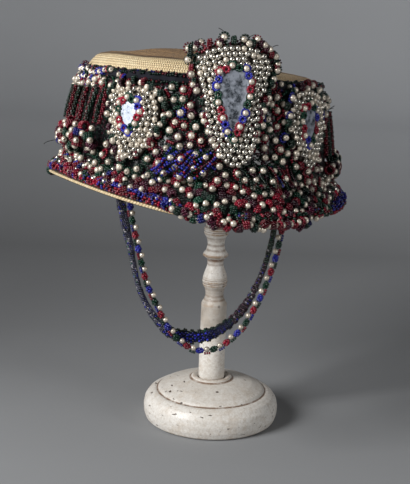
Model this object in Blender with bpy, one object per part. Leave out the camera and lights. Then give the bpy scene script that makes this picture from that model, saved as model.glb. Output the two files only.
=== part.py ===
"""Beaded straw hat on a turned hat stand.

The stand's foot lies on the floor at the origin, +Z is up, and the stand's axis is Z.
The hat's front faces -Y. Its pieces are children of an empty that tips the hat back and
to one side, as it hangs on the stand's round head. Sizes below are in millimetres and
angles in degrees; the meshes are made in metres.
"""
import bpy
import bmesh
from math import sin, cos, pi, radians, degrees, exp
from mathutils import Matrix, Vector

MM = 0.001

# Stand: outlines from the bottom up, as radius and height
BASE_OUTLINE = [  # radius, height
    (47.0, 0.0), (49.2, 1.2), (50.6, 5.5), (50.9, 10.5), (50.0, 15.5), (47.0, 19.6), (43.0, 21.9),
    (40.9, 22.3), (40.2, 22.9), (39.0, 24.6), (31.0, 28.2), (22.0, 30.6), (17.0, 31.6), (15.6, 33.4),
    (14.0, 34.0), (12.4, 33.2), (11.4, 31.6), (10.6, 31.2), (0.0, 31.2)]
STEM_OUTLINE = [  # radius, height
    (9.6, 31.5), (9.8, 33.0), (9.5, 90.2), (8.7, 91.8), (7.2, 94.0), (6.7, 97.0), (7.0, 100.6),
    (8.3, 103.9), (9.3, 106.0), (9.4, 108.6), (9.2, 110.2), (8.3, 113.4), (6.9, 117.3), (5.9, 121.0),
    (6.3, 124.6), (8.4, 126.4), (9.4, 127.6), (9.3, 128.4), (8.2, 130.0), (6.8, 132.4), (6.2, 135.8),
    (6.7, 139.6), (8.5, 143.2), (9.3, 145.0), (9.1, 148.0), (8.1, 149.0), (8.0, 156.0), (8.6, 162.0),
    (8.6, 225.0), (9.4, 236.0), (13.5, 243.0), (15.6, 251.0), (14.8, 260.2), (10.6, 266.9), (5.2, 269.6),
    (0.0, 270.2)]

# Hat: how it sits on the stand
VIEW_AZIMUTH = -11.5        # the tips are measured about this direction and across it
TIP_BACK = 6.5
TIP_ASIDE = 2.5
HAT_PLACE = (-17.6, -18.0, 185.0)   # right, away and up, seen along that direction

# Straw: half widths across (x) and front to back (y), at each height
AROUND = 48
CROWN_FOOT = (88.5, 102.5, 3.0)     # half across, half front to back, height
CROWN_EDGE = (81.2, 95.0, 76.9)
BRIM_EDGE = (103.3, 117.8)
STRAW_THICK = 1.6

# Beadwork layers, as distances out from the straw wall
GAP = 0.3
PAD_OUT = 5.5
PLATE_IN, PLATE_OUT = 5.9, 9.0
MIRROR_IN, MIRROR_OUT = 9.4, 10.6

FRONT_PLATE = [  # angle round the crown, height
    (-21.5, 91.0), (-18.0, 96.5), (-11.0, 101.0), (-1.0, 103.5), (11.0, 103.0), (18.0, 98.5),
    (21.5, 91.0), (20.5, 81.0), (18.5, 69.0), (15.5, 56.0), (13.5, 43.0), (11.5, 33.0), (9.0, 25.0),
    (3.5, 19.5), (-1.5, 22.5), (-6.5, 31.0), (-11.5, 43.0), (-14.0, 56.0), (-16.5, 68.0), (-19.5, 80.0)]
LEFT_PLATE = [  # angle, height
    (-51.5, 60.5), (-47.5, 66.0), (-42.0, 68.0), (-35.5, 67.5), (-30.5, 63.5), (-28.0, 55.0),
    (-28.5, 43.0), (-31.5, 31.0), (-34.5, 23.5), (-38.0, 19.0), (-42.0, 22.5), (-46.5, 32.0), (-50.5, 45.0)]
RIGHT_PLATE = [  # angle, height
    (26.5, 66.0), (30.5, 72.0), (37.0, 74.0), (44.5, 72.5), (50.5, 67.5), (51.5, 56.0), (50.5, 46.0),
    (47.5, 35.0), (43.5, 25.5), (39.0, 20.0), (34.0, 27.0), (29.5, 39.0), (26.5, 54.0)]

FRONT_MIRROR = [  # across, height
    (-9.0, 76.5), (-7.2, 81.0), (-1.6, 82.6), (6.4, 82.0), (10.0, 77.5), (9.4, 70.0), (7.2, 59.0),
    (4.2, 47.5), (0.8, 37.0), (-2.8, 47.5), (-6.4, 59.0), (-8.8, 68.5)]
LEFT_MIRROR = [  # across, height
    (-6.6, 52.0), (-2.8, 57.6), (4.8, 57.2), (8.0, 52.0), (5.6, 44.6), (1.4, 38.2), (-3.4, 44.0)]
RIGHT_MIRROR = [  # across, height
    (-7.4, 57.0), (-2.4, 62.6), (4.4, 62.0), (7.4, 55.0), (5.0, 45.0), (0.4, 37.6), (-5.6, 46.0)]

# Straps: centre line in the stand's frame, x, y, z, then width and thickness or radius
RUFFLE_ROUTE = [  # x, y, z, width, thickness
    (-81.3, -78.7, 203.7, 5.4, 2.6), (-80.9, -78.8, 186.1, 5.8, 3.2), (-79.1, -79.1, 176.7, 5.8, 3.2),
    (-76.4, -79.6, 163.8, 5.2, 3.2), (-74.2, -80.0, 155.1, 4.4, 3.0), (-71.4, -80.5, 140.3, 3.6, 3.0),
    (-68.2, -81.1, 128.0, 3.6, 3.0), (-64.6, -81.7, 119.1, 3.8, 3.0), (-59.8, -82.6, 110.4, 4.4, 3.2),
    (-52.8, -83.8, 101.5, 5.6, 3.6), (-45.9, -85.1, 96.3, 8.0, 4.2), (-38.2, -86.5, 94.3, 9.0, 4.4),
    (-29.7, -88.0, 94.1, 9.0, 4.4), (-20.4, -89.7, 96.3, 8.4, 4.2), (-12.1, -91.2, 101.0, 6.8, 3.8),
    (-3.9, -92.6, 108.5, 6.2, 3.4), (3.3, -93.9, 118.7, 5.4, 3.2), (8.4, -94.8, 129.5, 4.0, 3.0),
    (12.5, -95.6, 140.3, 3.4, 3.0), (16.1, -96.2, 153.7, 3.4, 3.0), (18.8, -96.7, 168.6, 3.6, 3.0),
    (21.8, -97.2, 198.8, 3.8, 2.6)]
PEARL_ROUTE = [  # x, y, z
    (-75.4, -85.0, 203.9), (-75.3, -86.7, 184.9), (-75.3, -88.4, 180.1), (-73.5, -90.7, 172.9),
    (-72.0, -91.3, 165.8), (-70.6, -91.4, 158.9), (-68.6, -91.5, 151.5), (-67.2, -91.6, 144.2),
    (-64.9, -91.8, 137.3), (-63.3, -91.9, 130.2), (-59.6, -92.2, 123.5), (-56.2, -92.4, 116.5),
    (-52.9, -92.7, 109.3), (-49.1, -93.0, 103.1), (-44.6, -93.3, 96.8), (-39.3, -93.7, 91.8),
    (-32.8, -94.1, 87.7), (-25.8, -94.6, 86.3), (-17.7, -95.2, 87.5), (-11.7, -95.6, 90.8),
    (-5.8, -96.1, 96.1), (-0.9, -96.4, 101.1), (3.6, -96.7, 107.9), (6.4, -96.9, 114.6),
    (10.4, -97.2, 121.3), (13.1, -97.4, 128.4), (15.4, -97.6, 135.1), (18.0, -97.8, 141.8),
    (19.8, -97.9, 150.1), (21.6, -98.0, 157.6), (22.7, -97.9, 165.0), (24.4, -96.6, 173.0),
    (27.7, -92.5, 198.0)]
PEARLS = 28
PEARL_RADIUS = 2.15


def material(name, colour, roughness, metallic=0.0):
    mat = bpy.data.materials.new(name)
    mat.use_nodes = True
    shader = mat.node_tree.nodes["Principled BSDF"]
    shader.inputs["Base Color"].default_value = (*colour, 1.0)
    shader.inputs["Roughness"].default_value = roughness
    shader.inputs["Metallic"].default_value = metallic
    mat.diffuse_color = (*colour, 1.0)
    return mat


def finish(bm, name, mat, parent=None):
    bmesh.ops.recalc_face_normals(bm, faces=bm.faces)
    mesh = bpy.data.meshes.new(name)
    bm.to_mesh(mesh)
    bm.free()
    mesh.materials.append(mat)
    obj = bpy.data.objects.new(name, mesh)
    bpy.context.scene.collection.objects.link(obj)
    obj.parent = parent
    for poly in mesh.polygons:
        poly.use_smooth = True
    return obj


def turned(name, outline, steps, mat):
    """A turned solid: the outline spun once round Z, closed at both ends."""
    bm = bmesh.new()
    verts = [bm.verts.new((r * MM, 0.0, z * MM)) for r, z in outline]
    foot = bm.verts.new((0.0, 0.0, outline[0][1] * MM))
    line = [bm.edges.new(pair) for pair in zip([foot] + verts, verts)]
    bmesh.ops.spin(bm, geom=line + [foot] + verts, cent=(0, 0, 0), axis=(0, 0, 1),
                   angle=2 * pi, steps=steps, use_merge=True, use_duplicate=False)
    bmesh.ops.remove_doubles(bm, verts=bm.verts, dist=0.00001)
    return finish(bm, name, mat)


def brim_height(a):
    """The brim's edge dips at the front and back and lifts at the sides."""
    return (-6.4 + 1.46 * cos(a) - 1.09 * sin(a) - 8.03 * cos(2 * a) - 2.07 * sin(2 * a))


def brim_root(a):
    return CROWN_FOOT[2] + 0.3 * (brim_height(a) + 6.4)


def wall(a, z, out):
    """A point beside the crown's wall: angle from the front, height, distance out."""
    t = (z - CROWN_FOOT[2]) / (CROWN_EDGE[2] - CROWN_FOOT[2])
    half_x = CROWN_FOOT[0] + (CROWN_EDGE[0] - CROWN_FOOT[0]) * t + out
    half_y = CROWN_FOOT[1] + (CROWN_EDGE[1] - CROWN_FOOT[1]) * t + out
    return Vector((half_x * sin(a), -half_y * cos(a), z)) * MM


def crown_rise(a, rho):
    """Height of the crown's top over its edge: a soft shoulder, then an uneven dome."""
    x, y = CROWN_EDGE[0] * rho * sin(a), -CROWN_EDGE[1] * rho * cos(a)
    shoulder = 6.2 - 3.0 * sin(a) * rho
    climb = min(1.0, (1.0 - rho) / 0.13)
    dome = 8.4 * exp(-((x + 14.0) / 50.0) ** 2 - ((y - 8.0) / 62.0) ** 2)
    sag = -1.0 * exp(-((x + 52.0) / 12.0) ** 2) + 2.4 * (1.0 - rho)
    return shoulder * (climb * (2.0 - climb)) + (dome + sag) * min(1.0, (1.0 - rho) / 0.2)


def on_brim(a, t):
    """A point on the top of the brim, from the crown's foot (0) to the edge (1)."""
    half_x = 90.6 + (BRIM_EDGE[0] - 90.6) * t
    half_y = 104.6 + (BRIM_EDGE[1] - 104.6) * t
    z = brim_root(a) + (brim_height(a) - brim_root(a)) * t
    return Vector((half_x * sin(a), -half_y * cos(a), z)) * MM


def ring_faces(bm, rows):
    """Join rows of verts that each close round the hat."""
    for low, high in zip(rows, rows[1:]):
        for i in range(len(low)):
            j = (i + 1) % len(low)
            bm.faces.new((low[i], low[j], high[j], high[i]))


def angles(count):
    return [2 * pi * i / count for i in range(count)]


def straw_hat(mat, parent):
    """Brim, wall and top as one sheet from the brim's edge to the crown's middle."""
    bm = bmesh.new()
    rows = [[bm.verts.new(on_brim(a, t)) for a in angles(AROUND)] for t in (1.0, 0.5, 0.12)]
    for step, out in ((3.2, 0.0), (9.0, 0.0)):
        rows.append([bm.verts.new(wall(a, brim_root(a) + step, out)) for a in angles(AROUND)])
    for z in (40.0, CROWN_EDGE[2]):
        rows.append([bm.verts.new(wall(a, z, 0.0)) for a in angles(AROUND)])
    for rho in (0.955, 0.89, 0.75, 0.5, 0.26):
        rows.append([bm.verts.new(Vector((CROWN_EDGE[0] * rho * sin(a), -CROWN_EDGE[1] * rho * cos(a),
                                          CROWN_EDGE[2] + crown_rise(a, rho))) * MM)
                     for a in angles(AROUND)])
    ring_faces(bm, rows)
    middle = bm.verts.new(Vector((0.0, 0.0, CROWN_EDGE[2] + crown_rise(0.0, 0.0))) * MM)
    last = rows[-1]
    for i in range(AROUND):
        bm.faces.new((last[i], last[(i + 1) % AROUND], middle))
    obj = finish(bm, "straw_hat", mat, parent)
    thick = obj.modifiers.new("Straw thickness", "SOLIDIFY")
    thick.thickness = STRAW_THICK * MM
    thick.offset = -1.0
    thick.use_even_offset = False
    return obj


def lump(a, z, size=1.0):
    """Uneven surface of threaded beads, from 0 to 1."""
    wave = sin(9 * a + 0.13 * z) * sin(0.31 * z + 5 * a) + 0.6 * sin(17 * a - 0.21 * z)
    return size * (0.5 + 0.3 * wave)


def hoop(name, sections, mat, parent):
    """A closed ring: each row of points closes round the hat, and the rows close too."""
    bm = bmesh.new()
    rows = [[bm.verts.new(p) for p in row] for row in sections]
    ring_faces(bm, rows + rows[:1])
    return finish(bm, name, mat, parent)


def crown_beadwork(mat, parent):
    heights = (0.0, 0.04, 0.28, 0.52, 0.76, 0.96, 1.0)
    top = 70.4

    def row(t, out):
        points = []
        for a in angles(AROUND):
            z = brim_root(a) + 9.8 + (top - brim_root(a) - 9.8) * t
            rough = 0.0 if t in (0.0, 1.0) else lump(a, z, 1.5)
            points.append(wall(a, z, out - rough if out > 1.0 else out))
        return points

    outer = [row(t, 4.0 if t in (0.0, 1.0) else PAD_OUT) for t in heights]
    inner = [row(t, GAP) for t in (1.0, 0.0)]
    return hoop("crown_beadwork", outer + inner, mat, parent)


def top_band(mat, parent):
    rows = [[wall(a, z, out) for a in angles(AROUND)]
            for z, out in ((70.8, 2.4), (73.6, 2.9), (76.4, 2.4), (76.4, GAP), (70.8, GAP))]
    return hoop("top_band", rows, mat, parent)


def brim_beadwork(mat, parent):
    """Beads heaped on the brim: flat below, uneven above, thinner to the edge."""
    steps = ((0.09, 8.2), (0.35, 8.4), (0.65, 7.0), (0.93, 3.6))

    def above(t, rise):
        points = []
        for a in angles(AROUND):
            rough = 0.0 if rise < 1.0 else lump(a, 40 * t, 1.5)
            points.append(on_brim(a, t) + Vector((0, 0, (rise - rough) * MM)))
        return points

    rows = [above(t, rise) for t, rise in steps] + [above(0.93, 0.45), above(0.5, 0.45), above(0.09, 0.45)]
    return hoop("brim_beadwork", rows, mat, parent)


def brim_edging(mat, parent):
    """Looped beads sewn along the edge of the brim, higher where the straw shows under them."""
    section = ((0.5, -0.9), (2.6, -0.7), (2.6, 3.0), (0.5, 3.4))
    rows = []
    for out, rise in section:
        row = []
        for i, a in enumerate(angles(AROUND * 2)):
            puff = 0.35 if i % 2 else 0.0
            hang = -1.2 + 3.0 * exp(-((degrees(a) - 290.0) / 32.0) ** 2)
            edge = on_brim(a, 1.0)
            side = Vector((sin(a), -cos(a), 0.0))
            row.append(edge + side * ((out + (puff if out > 1 else 0.1)) * MM)
                       + Vector((0, 0, (rise + hang) * MM)))
        rows.append(row)
    return hoop("brim_edging", rows, mat, parent)


def plate(name, outline, mat, parent):
    """A bead plate on the crown's wall: an outline in angle and height, two surfaces."""
    mid_a = sum(p[0] for p in outline) / len(outline)
    mid_z = sum(p[1] for p in outline) / len(outline)
    bm = bmesh.new()

    def ring(share, out, rough):
        points = []
        for a, z in outline:
            a2, z2 = radians(mid_a + (a - mid_a) * share), mid_z + (z - mid_z) * share
            points.append(bm.verts.new(wall(a2, z2, out - lump(a2, z2, rough))))
        return points

    front = [ring(1.0, PLATE_OUT - 1.2, 0.4), ring(0.93, PLATE_OUT, 0.5), ring(0.62, PLATE_OUT, 0.3)]
    back = [ring(0.62, PLATE_IN, 0.0), ring(1.0, PLATE_IN, 0.0)]
    ring_faces(bm, back[::-1][:1] + front)
    ring_faces(bm, back)
    for ring_verts, out in ((front[-1], PLATE_OUT), (back[0], PLATE_IN)):
        centre = bm.verts.new(wall(radians(mid_a), mid_z, out))
        for i in range(len(ring_verts)):
            bm.faces.new((ring_verts[i], ring_verts[(i + 1) % len(ring_verts)], centre))
    return finish(bm, name, mat, parent)


def mirror(name, outline, angle, mat, parent):
    """A flat piece of mirror glass, lying on its plate."""
    a = radians(angle)
    low, high = wall(a, outline_span(outline)[0], 0.0), wall(a, outline_span(outline)[1], 0.0)
    side = (wall(a + 0.01, 50.0, 0.0) - wall(a - 0.01, 50.0, 0.0)).normalized()
    up = (high - low).normalized()
    out = side.cross(up).normalized()
    bm = bmesh.new()
    verts = []
    for x, z in outline:
        t = (z - outline_span(outline)[0]) / (outline_span(outline)[1] - outline_span(outline)[0])
        verts.append(bm.verts.new(low.lerp(high, t) + side * (x * MM) + out * (MIRROR_IN * MM)))
    face = bm.faces.new(verts)
    grown = bmesh.ops.extrude_face_region(bm, geom=[face])
    moved = [g for g in grown["geom"] if isinstance(g, bmesh.types.BMVert)]
    bmesh.ops.translate(bm, verts=moved, vec=out * ((MIRROR_OUT - MIRROR_IN) * MM))
    obj = finish(bm, name, mat, parent)
    for poly in obj.data.polygons:
        poly.use_smooth = False
    return obj


def outline_span(outline):
    heights = [p[1] for p in outline]
    return min(heights), max(heights)


def patch(name, first, last, low, high, columns, rows, depth, mat, parent):
    """A solid lying on the bead layer between two angles and two heights.

    depth(u, v) gives how far it stands out, for u round the crown and v up it.
    """
    bm = bmesh.new()

    def grid(reach):
        made = []
        for j in range(rows + 1):
            v = j / rows
            line = []
            for i in range(columns + 1):
                u = i / columns
                a = radians(first + (last - first) * u)
                line.append(bm.verts.new(wall(a, low + (high - low) * v, reach(u, v))))
            made.append(line)
        return made

    outer = grid(lambda u, v: PLATE_IN + max(0.6, depth(u, v)))
    inner = grid(lambda u, v: PLATE_IN)
    for j in range(rows):
        for i in range(columns):
            bm.faces.new((outer[j][i], outer[j][i + 1], outer[j + 1][i + 1], outer[j + 1][i]))
            bm.faces.new((inner[j][i + 1], inner[j][i], inner[j + 1][i], inner[j + 1][i + 1]))
    for j in range(rows):
        for i in (0, columns):
            bm.faces.new((outer[j][i], outer[j + 1][i], inner[j + 1][i], inner[j][i]))
    for i in range(columns):
        for j in (0, rows):
            bm.faces.new((outer[j][i], outer[j][i + 1], inner[j][i + 1], inner[j][i]))
    return finish(bm, name, mat, parent)


def curtain_depth(u, v):
    """Hanging strands: a rib every second column, looser to the bottom."""
    strand = 1.0 if round(u * 20) % 2 else 0.0
    return 1.6 + 1.3 * strand + 0.8 * (1.0 - v)


def rosette_depth(u, v):
    bump = sin(pi * u) ** 0.6 * sin(pi * v) ** 0.6
    return 14.0 * bump * (0.86 + 0.14 * sin(19 * u) * sin(13 * v + 1.0))


def smooth_route(points, per_span):
    """A smooth curve through the points, with their other columns, evenly subdivided."""
    out = []
    last = len(points) - 1
    for i in range(last):
        p0, p1 = points[max(i - 1, 0)], points[i]
        p2, p3 = points[i + 1], points[min(i + 2, last)]
        for k in range(per_span):
            t = k / per_span
            out.append(tuple(0.5 * (2 * b + (c - a) * t + (2 * a - 5 * b + 4 * c - d) * t * t
                                    + (3 * b - a - 3 * c + d) * t ** 3)
                             for a, b, c, d in zip(p0, p1, p2, p3)))
    out.append(tuple(points[-1]))
    return out


def even_route(points, count):
    """The same curve with its points the same distance apart."""
    fine = [Vector(p) for p in smooth_route(points, 8)]
    run = [0.0]
    for p, q in zip(fine, fine[1:]):
        run.append(run[-1] + (q - p).length)
    out, k = [], 0
    for i in range(count):
        want = run[-1] * i / (count - 1)
        while k < len(run) - 2 and run[k + 1] < want:
            k += 1
        out.append(fine[k].lerp(fine[k + 1], (want - run[k]) / max(run[k + 1] - run[k], 1e-9)))
    return out


def sweep(name, centres, sizes, sides, mat):
    """A closed solid round a line: each ring lies across the line, flat ends capped."""
    bm = bmesh.new()
    rows = []
    for i, c in enumerate(centres):
        ahead = (centres[min(i + 1, len(centres) - 1)] - centres[max(i - 1, 0)]).normalized()
        across = ahead.cross(Vector((0.17, 0.98, 0.0))).normalized()
        deep = ahead.cross(across).normalized()
        wide, thick = sizes[i]
        rows.append([bm.verts.new((c + across * (wide / 2 * cos(a)) + deep * (thick / 2 * sin(a))) * MM)
                     for a in angles(sides)])
    ring_faces(bm, rows)
    bm.faces.new(rows[0][::-1])
    bm.faces.new(rows[-1])
    return finish(bm, name, mat)


def ruffle_strap(mat):
    """A netted bead strap, gathered into a ruffle at its lowest part."""
    route = smooth_route(RUFFLE_ROUTE, 2)
    centres = [Vector(p[:3]) for p in route]
    sizes = []
    for i, p in enumerate(route):
        wide, thick = p[3], p[4]
        gather = 0.12 if wide > 5.0 and i % 2 else 0.0
        sizes.append((wide * (1 - gather), thick * (1 - gather)))
    return sweep("ruffle_strap", centres, sizes, 8, mat)


def pearl_string(mat):
    """Pearls with seed beads between them, as one knotted string."""
    route = even_route([p[:3] for p in PEARL_ROUTE], PEARLS * 4 + 1)
    waist, full = 1.5, 2 * PEARL_RADIUS
    shape = (waist, full * 0.78, full, full * 0.78)
    sizes = [(shape[i % 4], shape[i % 4]) for i in range(len(route))]
    return sweep("pearl_string", route, sizes, 10, mat)


def hat_frame():
    """The empty that carries the hat: tipped back, tipped aside, and moved off the axis."""
    turn = radians(VIEW_AZIMUTH)
    right = Vector((cos(turn), sin(turn), 0.0))
    away = Vector((-sin(turn), cos(turn), 0.0))
    across, deep, height = HAT_PLACE
    place = right * across + away * deep + Vector((0.0, 0.0, height))
    tip = Matrix.Rotation(radians(TIP_ASIDE), 4, away) @ Matrix.Rotation(radians(-TIP_BACK), 4, right)
    empty = bpy.data.objects.new("hat_frame", None)
    bpy.context.scene.collection.objects.link(empty)
    empty.matrix_world = Matrix.Translation(place * MM) @ tip
    return empty


for old in list(bpy.data.objects):
    bpy.data.objects.remove(old)

PAINT = material("white_paint", (0.80, 0.79, 0.76), 0.45)
STRAW = material("straw_plait", (0.72, 0.58, 0.36), 0.62)
BEADS = material("bead_mix", (0.30, 0.20, 0.20), 0.35)
WEAVE = material("woven_band", (0.05, 0.05, 0.07), 0.55)
SILVER = material("silver_beads", (0.62, 0.60, 0.56), 0.28, 0.85)
GLASS = material("mirror_glass", (0.70, 0.73, 0.78), 0.08, 1.0)
SEEDS = material("seed_strands", (0.10, 0.06, 0.07), 0.35)
EDGE = material("edge_loops", (0.30, 0.05, 0.10), 0.35)
PEARL = material("cream_pearls", (0.82, 0.76, 0.66), 0.25)
NET = material("netted_strap", (0.07, 0.06, 0.10), 0.50)

turned("stand_base", BASE_OUTLINE, 32, PAINT)
turned("stand_stem", STEM_OUTLINE, 16, PAINT)

HAT = hat_frame()
straw_hat(STRAW, HAT)
crown_beadwork(BEADS, HAT)
top_band(WEAVE, HAT)
plate("front_plate", FRONT_PLATE, SILVER, HAT)
plate("left_plate", LEFT_PLATE, SILVER, HAT)
plate("right_plate", RIGHT_PLATE, SILVER, HAT)
mirror("front_mirror", FRONT_MIRROR, 0.3, GLASS, HAT)
mirror("left_mirror", LEFT_MIRROR, -41.5, GLASS, HAT)
mirror("right_mirror", RIGHT_MIRROR, 38.0, GLASS, HAT)
patch("left_strands", -94.0, -54.0, 41.0, 63.0, 20, 3, curtain_depth, SEEDS, HAT)
patch("right_strands", 55.0, 95.0, 29.0, 58.0, 20, 3, curtain_depth, SEEDS, HAT)
patch("left_rosette", -87.0, -57.0, 22.0, 40.2, 8, 6, rosette_depth, BEADS, HAT)
patch("right_rosette", 62.0, 92.0, 12.5, 28.2, 8, 6, rosette_depth, BEADS, HAT)
brim_beadwork(BEADS, HAT)
brim_edging(EDGE, HAT)
pearl_string(PEARL)
ruffle_strap(NET)
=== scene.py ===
"""Beaded straw hat on a turned hat stand: the visible pieces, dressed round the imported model.

Sizes are in millimetres and angles in degrees until a mesh is written, which is in metres.
"""
import bpy
import numpy as np
from mathutils import Matrix


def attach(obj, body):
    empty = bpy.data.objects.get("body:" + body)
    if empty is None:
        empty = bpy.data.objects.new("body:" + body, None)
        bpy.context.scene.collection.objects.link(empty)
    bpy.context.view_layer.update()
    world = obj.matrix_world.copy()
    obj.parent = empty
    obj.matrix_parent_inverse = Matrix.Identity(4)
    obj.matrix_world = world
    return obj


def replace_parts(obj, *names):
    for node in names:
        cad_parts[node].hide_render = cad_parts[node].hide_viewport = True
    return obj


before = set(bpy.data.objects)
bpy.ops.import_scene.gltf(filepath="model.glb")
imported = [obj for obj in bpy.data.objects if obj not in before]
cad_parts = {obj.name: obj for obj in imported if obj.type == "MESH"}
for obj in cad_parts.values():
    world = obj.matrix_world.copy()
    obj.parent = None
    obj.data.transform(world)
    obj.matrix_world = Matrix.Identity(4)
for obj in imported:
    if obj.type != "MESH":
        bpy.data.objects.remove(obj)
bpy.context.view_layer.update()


# Camera: a long lens a little above the hat, turned to the hat's left front, as the
# photograph was taken. It leans two degrees, and the stand leans in the picture with it.
VIEW_TURN = np.radians(-11.5)
CAMERA_AWAY, CAMERA_HIGH = 896.6, 364.0
CAMERA_DOWN, CAMERA_PAN, CAMERA_LEAN = np.radians([14.20, -0.53, 1.96])
LENS_IN_PIXELS, FRAME_HEIGHT = 1250.0, 484.0


def axes_matrix(columns, place_mm):
    """A 4 by 4 placement whose columns are three axes and a place."""
    matrix = np.eye(4)
    matrix[:3, :3] = np.array(columns).T
    matrix[:3, 3] = np.array(place_mm) * 0.001
    return Matrix(matrix.tolist())


SIDE = np.array([np.cos(VIEW_TURN), np.sin(VIEW_TURN), 0.0])
AWAY = np.array([-np.sin(VIEW_TURN), np.cos(VIEW_TURN), 0.0])
UP = np.array([0.0, 0.0, 1.0])

level = SIDE * np.sin(CAMERA_PAN) + AWAY * np.cos(CAMERA_PAN)
camera_right = SIDE * np.cos(CAMERA_PAN) - AWAY * np.sin(CAMERA_PAN)
camera_ahead = level * np.cos(CAMERA_DOWN) - UP * np.sin(CAMERA_DOWN)
camera_up = np.cross(camera_right, camera_ahead)
leaned_right = camera_right * np.cos(CAMERA_LEAN) + camera_up * np.sin(CAMERA_LEAN)
leaned_up = camera_up * np.cos(CAMERA_LEAN) - camera_right * np.sin(CAMERA_LEAN)
camera_data = bpy.data.cameras.new("photo_camera")
camera_data.sensor_width = 36.0
camera_data.lens = 36.0 * LENS_IN_PIXELS / FRAME_HEIGHT
camera = bpy.data.objects.new("photo_camera", camera_data)
bpy.context.scene.collection.objects.link(camera)
camera.matrix_world = axes_matrix([leaned_right, leaned_up, -camera_ahead],
                                  -AWAY * CAMERA_AWAY + UP * CAMERA_HIGH)
bpy.context.scene.camera = camera


# Stand base: a round foot turned from one block of softwood, with a bullnose side, a
# scored ring and a small collar round the stem, brushed with white paint long ago.
BASE_OUTLINE = [  # radius, height
    (0.0, 0.0), (47.0, 0.0), (49.2, 1.2), (50.6, 5.5), (50.9, 10.5), (50.0, 15.5), (47.2, 19.6),
    (43.6, 21.8), (41.6, 22.3), (41.0, 21.9), (40.4, 22.8), (39.0, 24.4), (31.0, 28.2), (22.0, 30.6),
    (17.0, 31.5), (15.6, 31.8), (15.0, 33.0), (14.1, 33.8), (13.0, 33.9), (12.0, 33.4), (10.8, 32.8),
    (10.4, 31.8), (10.2, 31.3), (0.0, 31.3)]


def new_piece(name, points_mm, faces, uv=None, marks=None, smooth=True, rides=True):
    """A mesh object at the origin from arrays: points in mm, faces as rows of indices, or a list
    of such arrays with rows of different lengths, an optional uv for each corner in the order of
    the faces, and optional named arrays with a value or a colour for each point."""
    mesh = bpy.data.meshes.new(name)
    points = np.asarray(points_mm, dtype=np.float32) * 0.001
    kinds = [np.asarray(kind, dtype=np.int32) for kind in (faces if isinstance(faces, list) else [faces])]
    corners = np.concatenate([kind.ravel() for kind in kinds])
    sizes = np.concatenate([np.full(len(kind), kind.shape[1], dtype=np.int32) for kind in kinds])
    mesh.vertices.add(len(points))
    mesh.vertices.foreach_set("co", points.ravel())
    mesh.loops.add(len(corners))
    mesh.loops.foreach_set("vertex_index", corners)
    mesh.polygons.add(len(sizes))
    mesh.polygons.foreach_set("loop_start", np.cumsum(sizes, dtype=np.int32) - sizes)
    mesh.polygons.foreach_set("use_smooth", np.full(len(sizes), smooth))
    if uv is not None:
        mesh.uv_layers.new(name="wrap").data.foreach_set("uv", np.asarray(uv, dtype=np.float32).ravel())
    for mark, values in (marks or {}).items():
        values = np.asarray(values, dtype=np.float32)
        if values.ndim == 2:
            solid = np.ones((len(values), 4), dtype=np.float32)
            solid[:, :3] = values
            mesh.attributes.new(mark, "FLOAT_COLOR", "POINT").data.foreach_set("color", solid.ravel())
        else:
            mesh.attributes.new(mark, "FLOAT", "POINT").data.foreach_set("value", values)
    mesh.update()
    mesh.validate()
    piece = bpy.data.objects.new(name, mesh)
    bpy.context.scene.collection.objects.link(piece)
    if rides:
        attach(piece, "root")
    return piece


def grid_faces(rows, columns, round_rows=False, round_columns=False):
    """Quads of a grid of points in row order, closing round either way when asked."""
    r = np.arange(rows if round_rows else rows - 1)[:, None]
    c = np.arange(columns if round_columns else columns - 1)[None, :]
    r2, c2 = (r + 1) % rows, (c + 1) % columns
    corners = [r * columns + c, r * columns + c2, r2 * columns + c2, r2 * columns + c]
    return np.stack(corners, -1).reshape(-1, 4)


def capped_faces(rows, sides):
    """A closed skin of rings: their quads, then fans to two more points, one past each end."""
    i, j = np.arange(sides), (np.arange(sides) + 1) % sides
    last, ends = (rows - 1) * sides, rows * sides
    return [grid_faces(rows, sides, round_columns=True),
            np.concatenate([np.stack([j, i, np.full(sides, ends)], 1),
                            np.stack([last + i, last + j, np.full(sides, ends + 1)], 1)])]


def rounded_outline(outline, pitch):
    """An outline walked in equal steps, then each point moved towards the mean of its two
    neighbours, which rounds the corners; the two ends stay."""
    line = np.array(outline, dtype=float)
    run = np.concatenate([[0.0], np.cumsum(np.hypot(*np.diff(line, axis=0).T))])
    at = np.linspace(0.0, run[-1], int(run[-1] / pitch) + 1)
    line = np.stack([np.interp(at, run, line[:, 0]), np.interp(at, run, line[:, 1])], 1)
    line[1:-1] = 0.25 * line[:-2] + 0.5 * line[1:-1] + 0.25 * line[2:]
    return line


def turned_piece(name, outline, steps, pitch, seed):
    """Each outline point goes once round Z: x = r cos, y = r sin. The radius wavers by a
    tenth of a millimetre, as an old turned piece does. 'hollow' marks grooves and edges."""
    line = rounded_outline(outline, pitch)
    bend = np.zeros(len(line))
    ahead, behind = line[4:] - line[2:-2], line[2:-2] - line[:-4]
    bend[2:-2] = ahead[:, 0] * behind[:, 1] - ahead[:, 1] * behind[:, 0]
    bend = bend / (4.0 * pitch * pitch)
    angle = np.arange(steps) * 2 * np.pi / steps
    radius, height = line[:, 0][:, None], line[:, 1][:, None]
    waver = 0.10 * np.sin(3 * angle + seed + 0.07 * height) * np.clip(radius / 8.0, 0, 1)
    r = np.where(radius > 0.02, radius + waver, 0.0)
    points = np.stack([r * np.cos(angle), r * np.sin(angle), height + 0 * angle], -1)
    poles = [[0.0, 0.0, line[0, 1]], [0.0, 0.0, line[-1, 1]]]
    everything = np.concatenate([points[1:-1].reshape(-1, 3), poles])
    hollow = np.concatenate([np.repeat(bend[1:-1], steps), [0.0, 0.0]])
    return new_piece(name, everything, capped_faces(len(line) - 2, steps), marks={"hollow": hollow})


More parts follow.
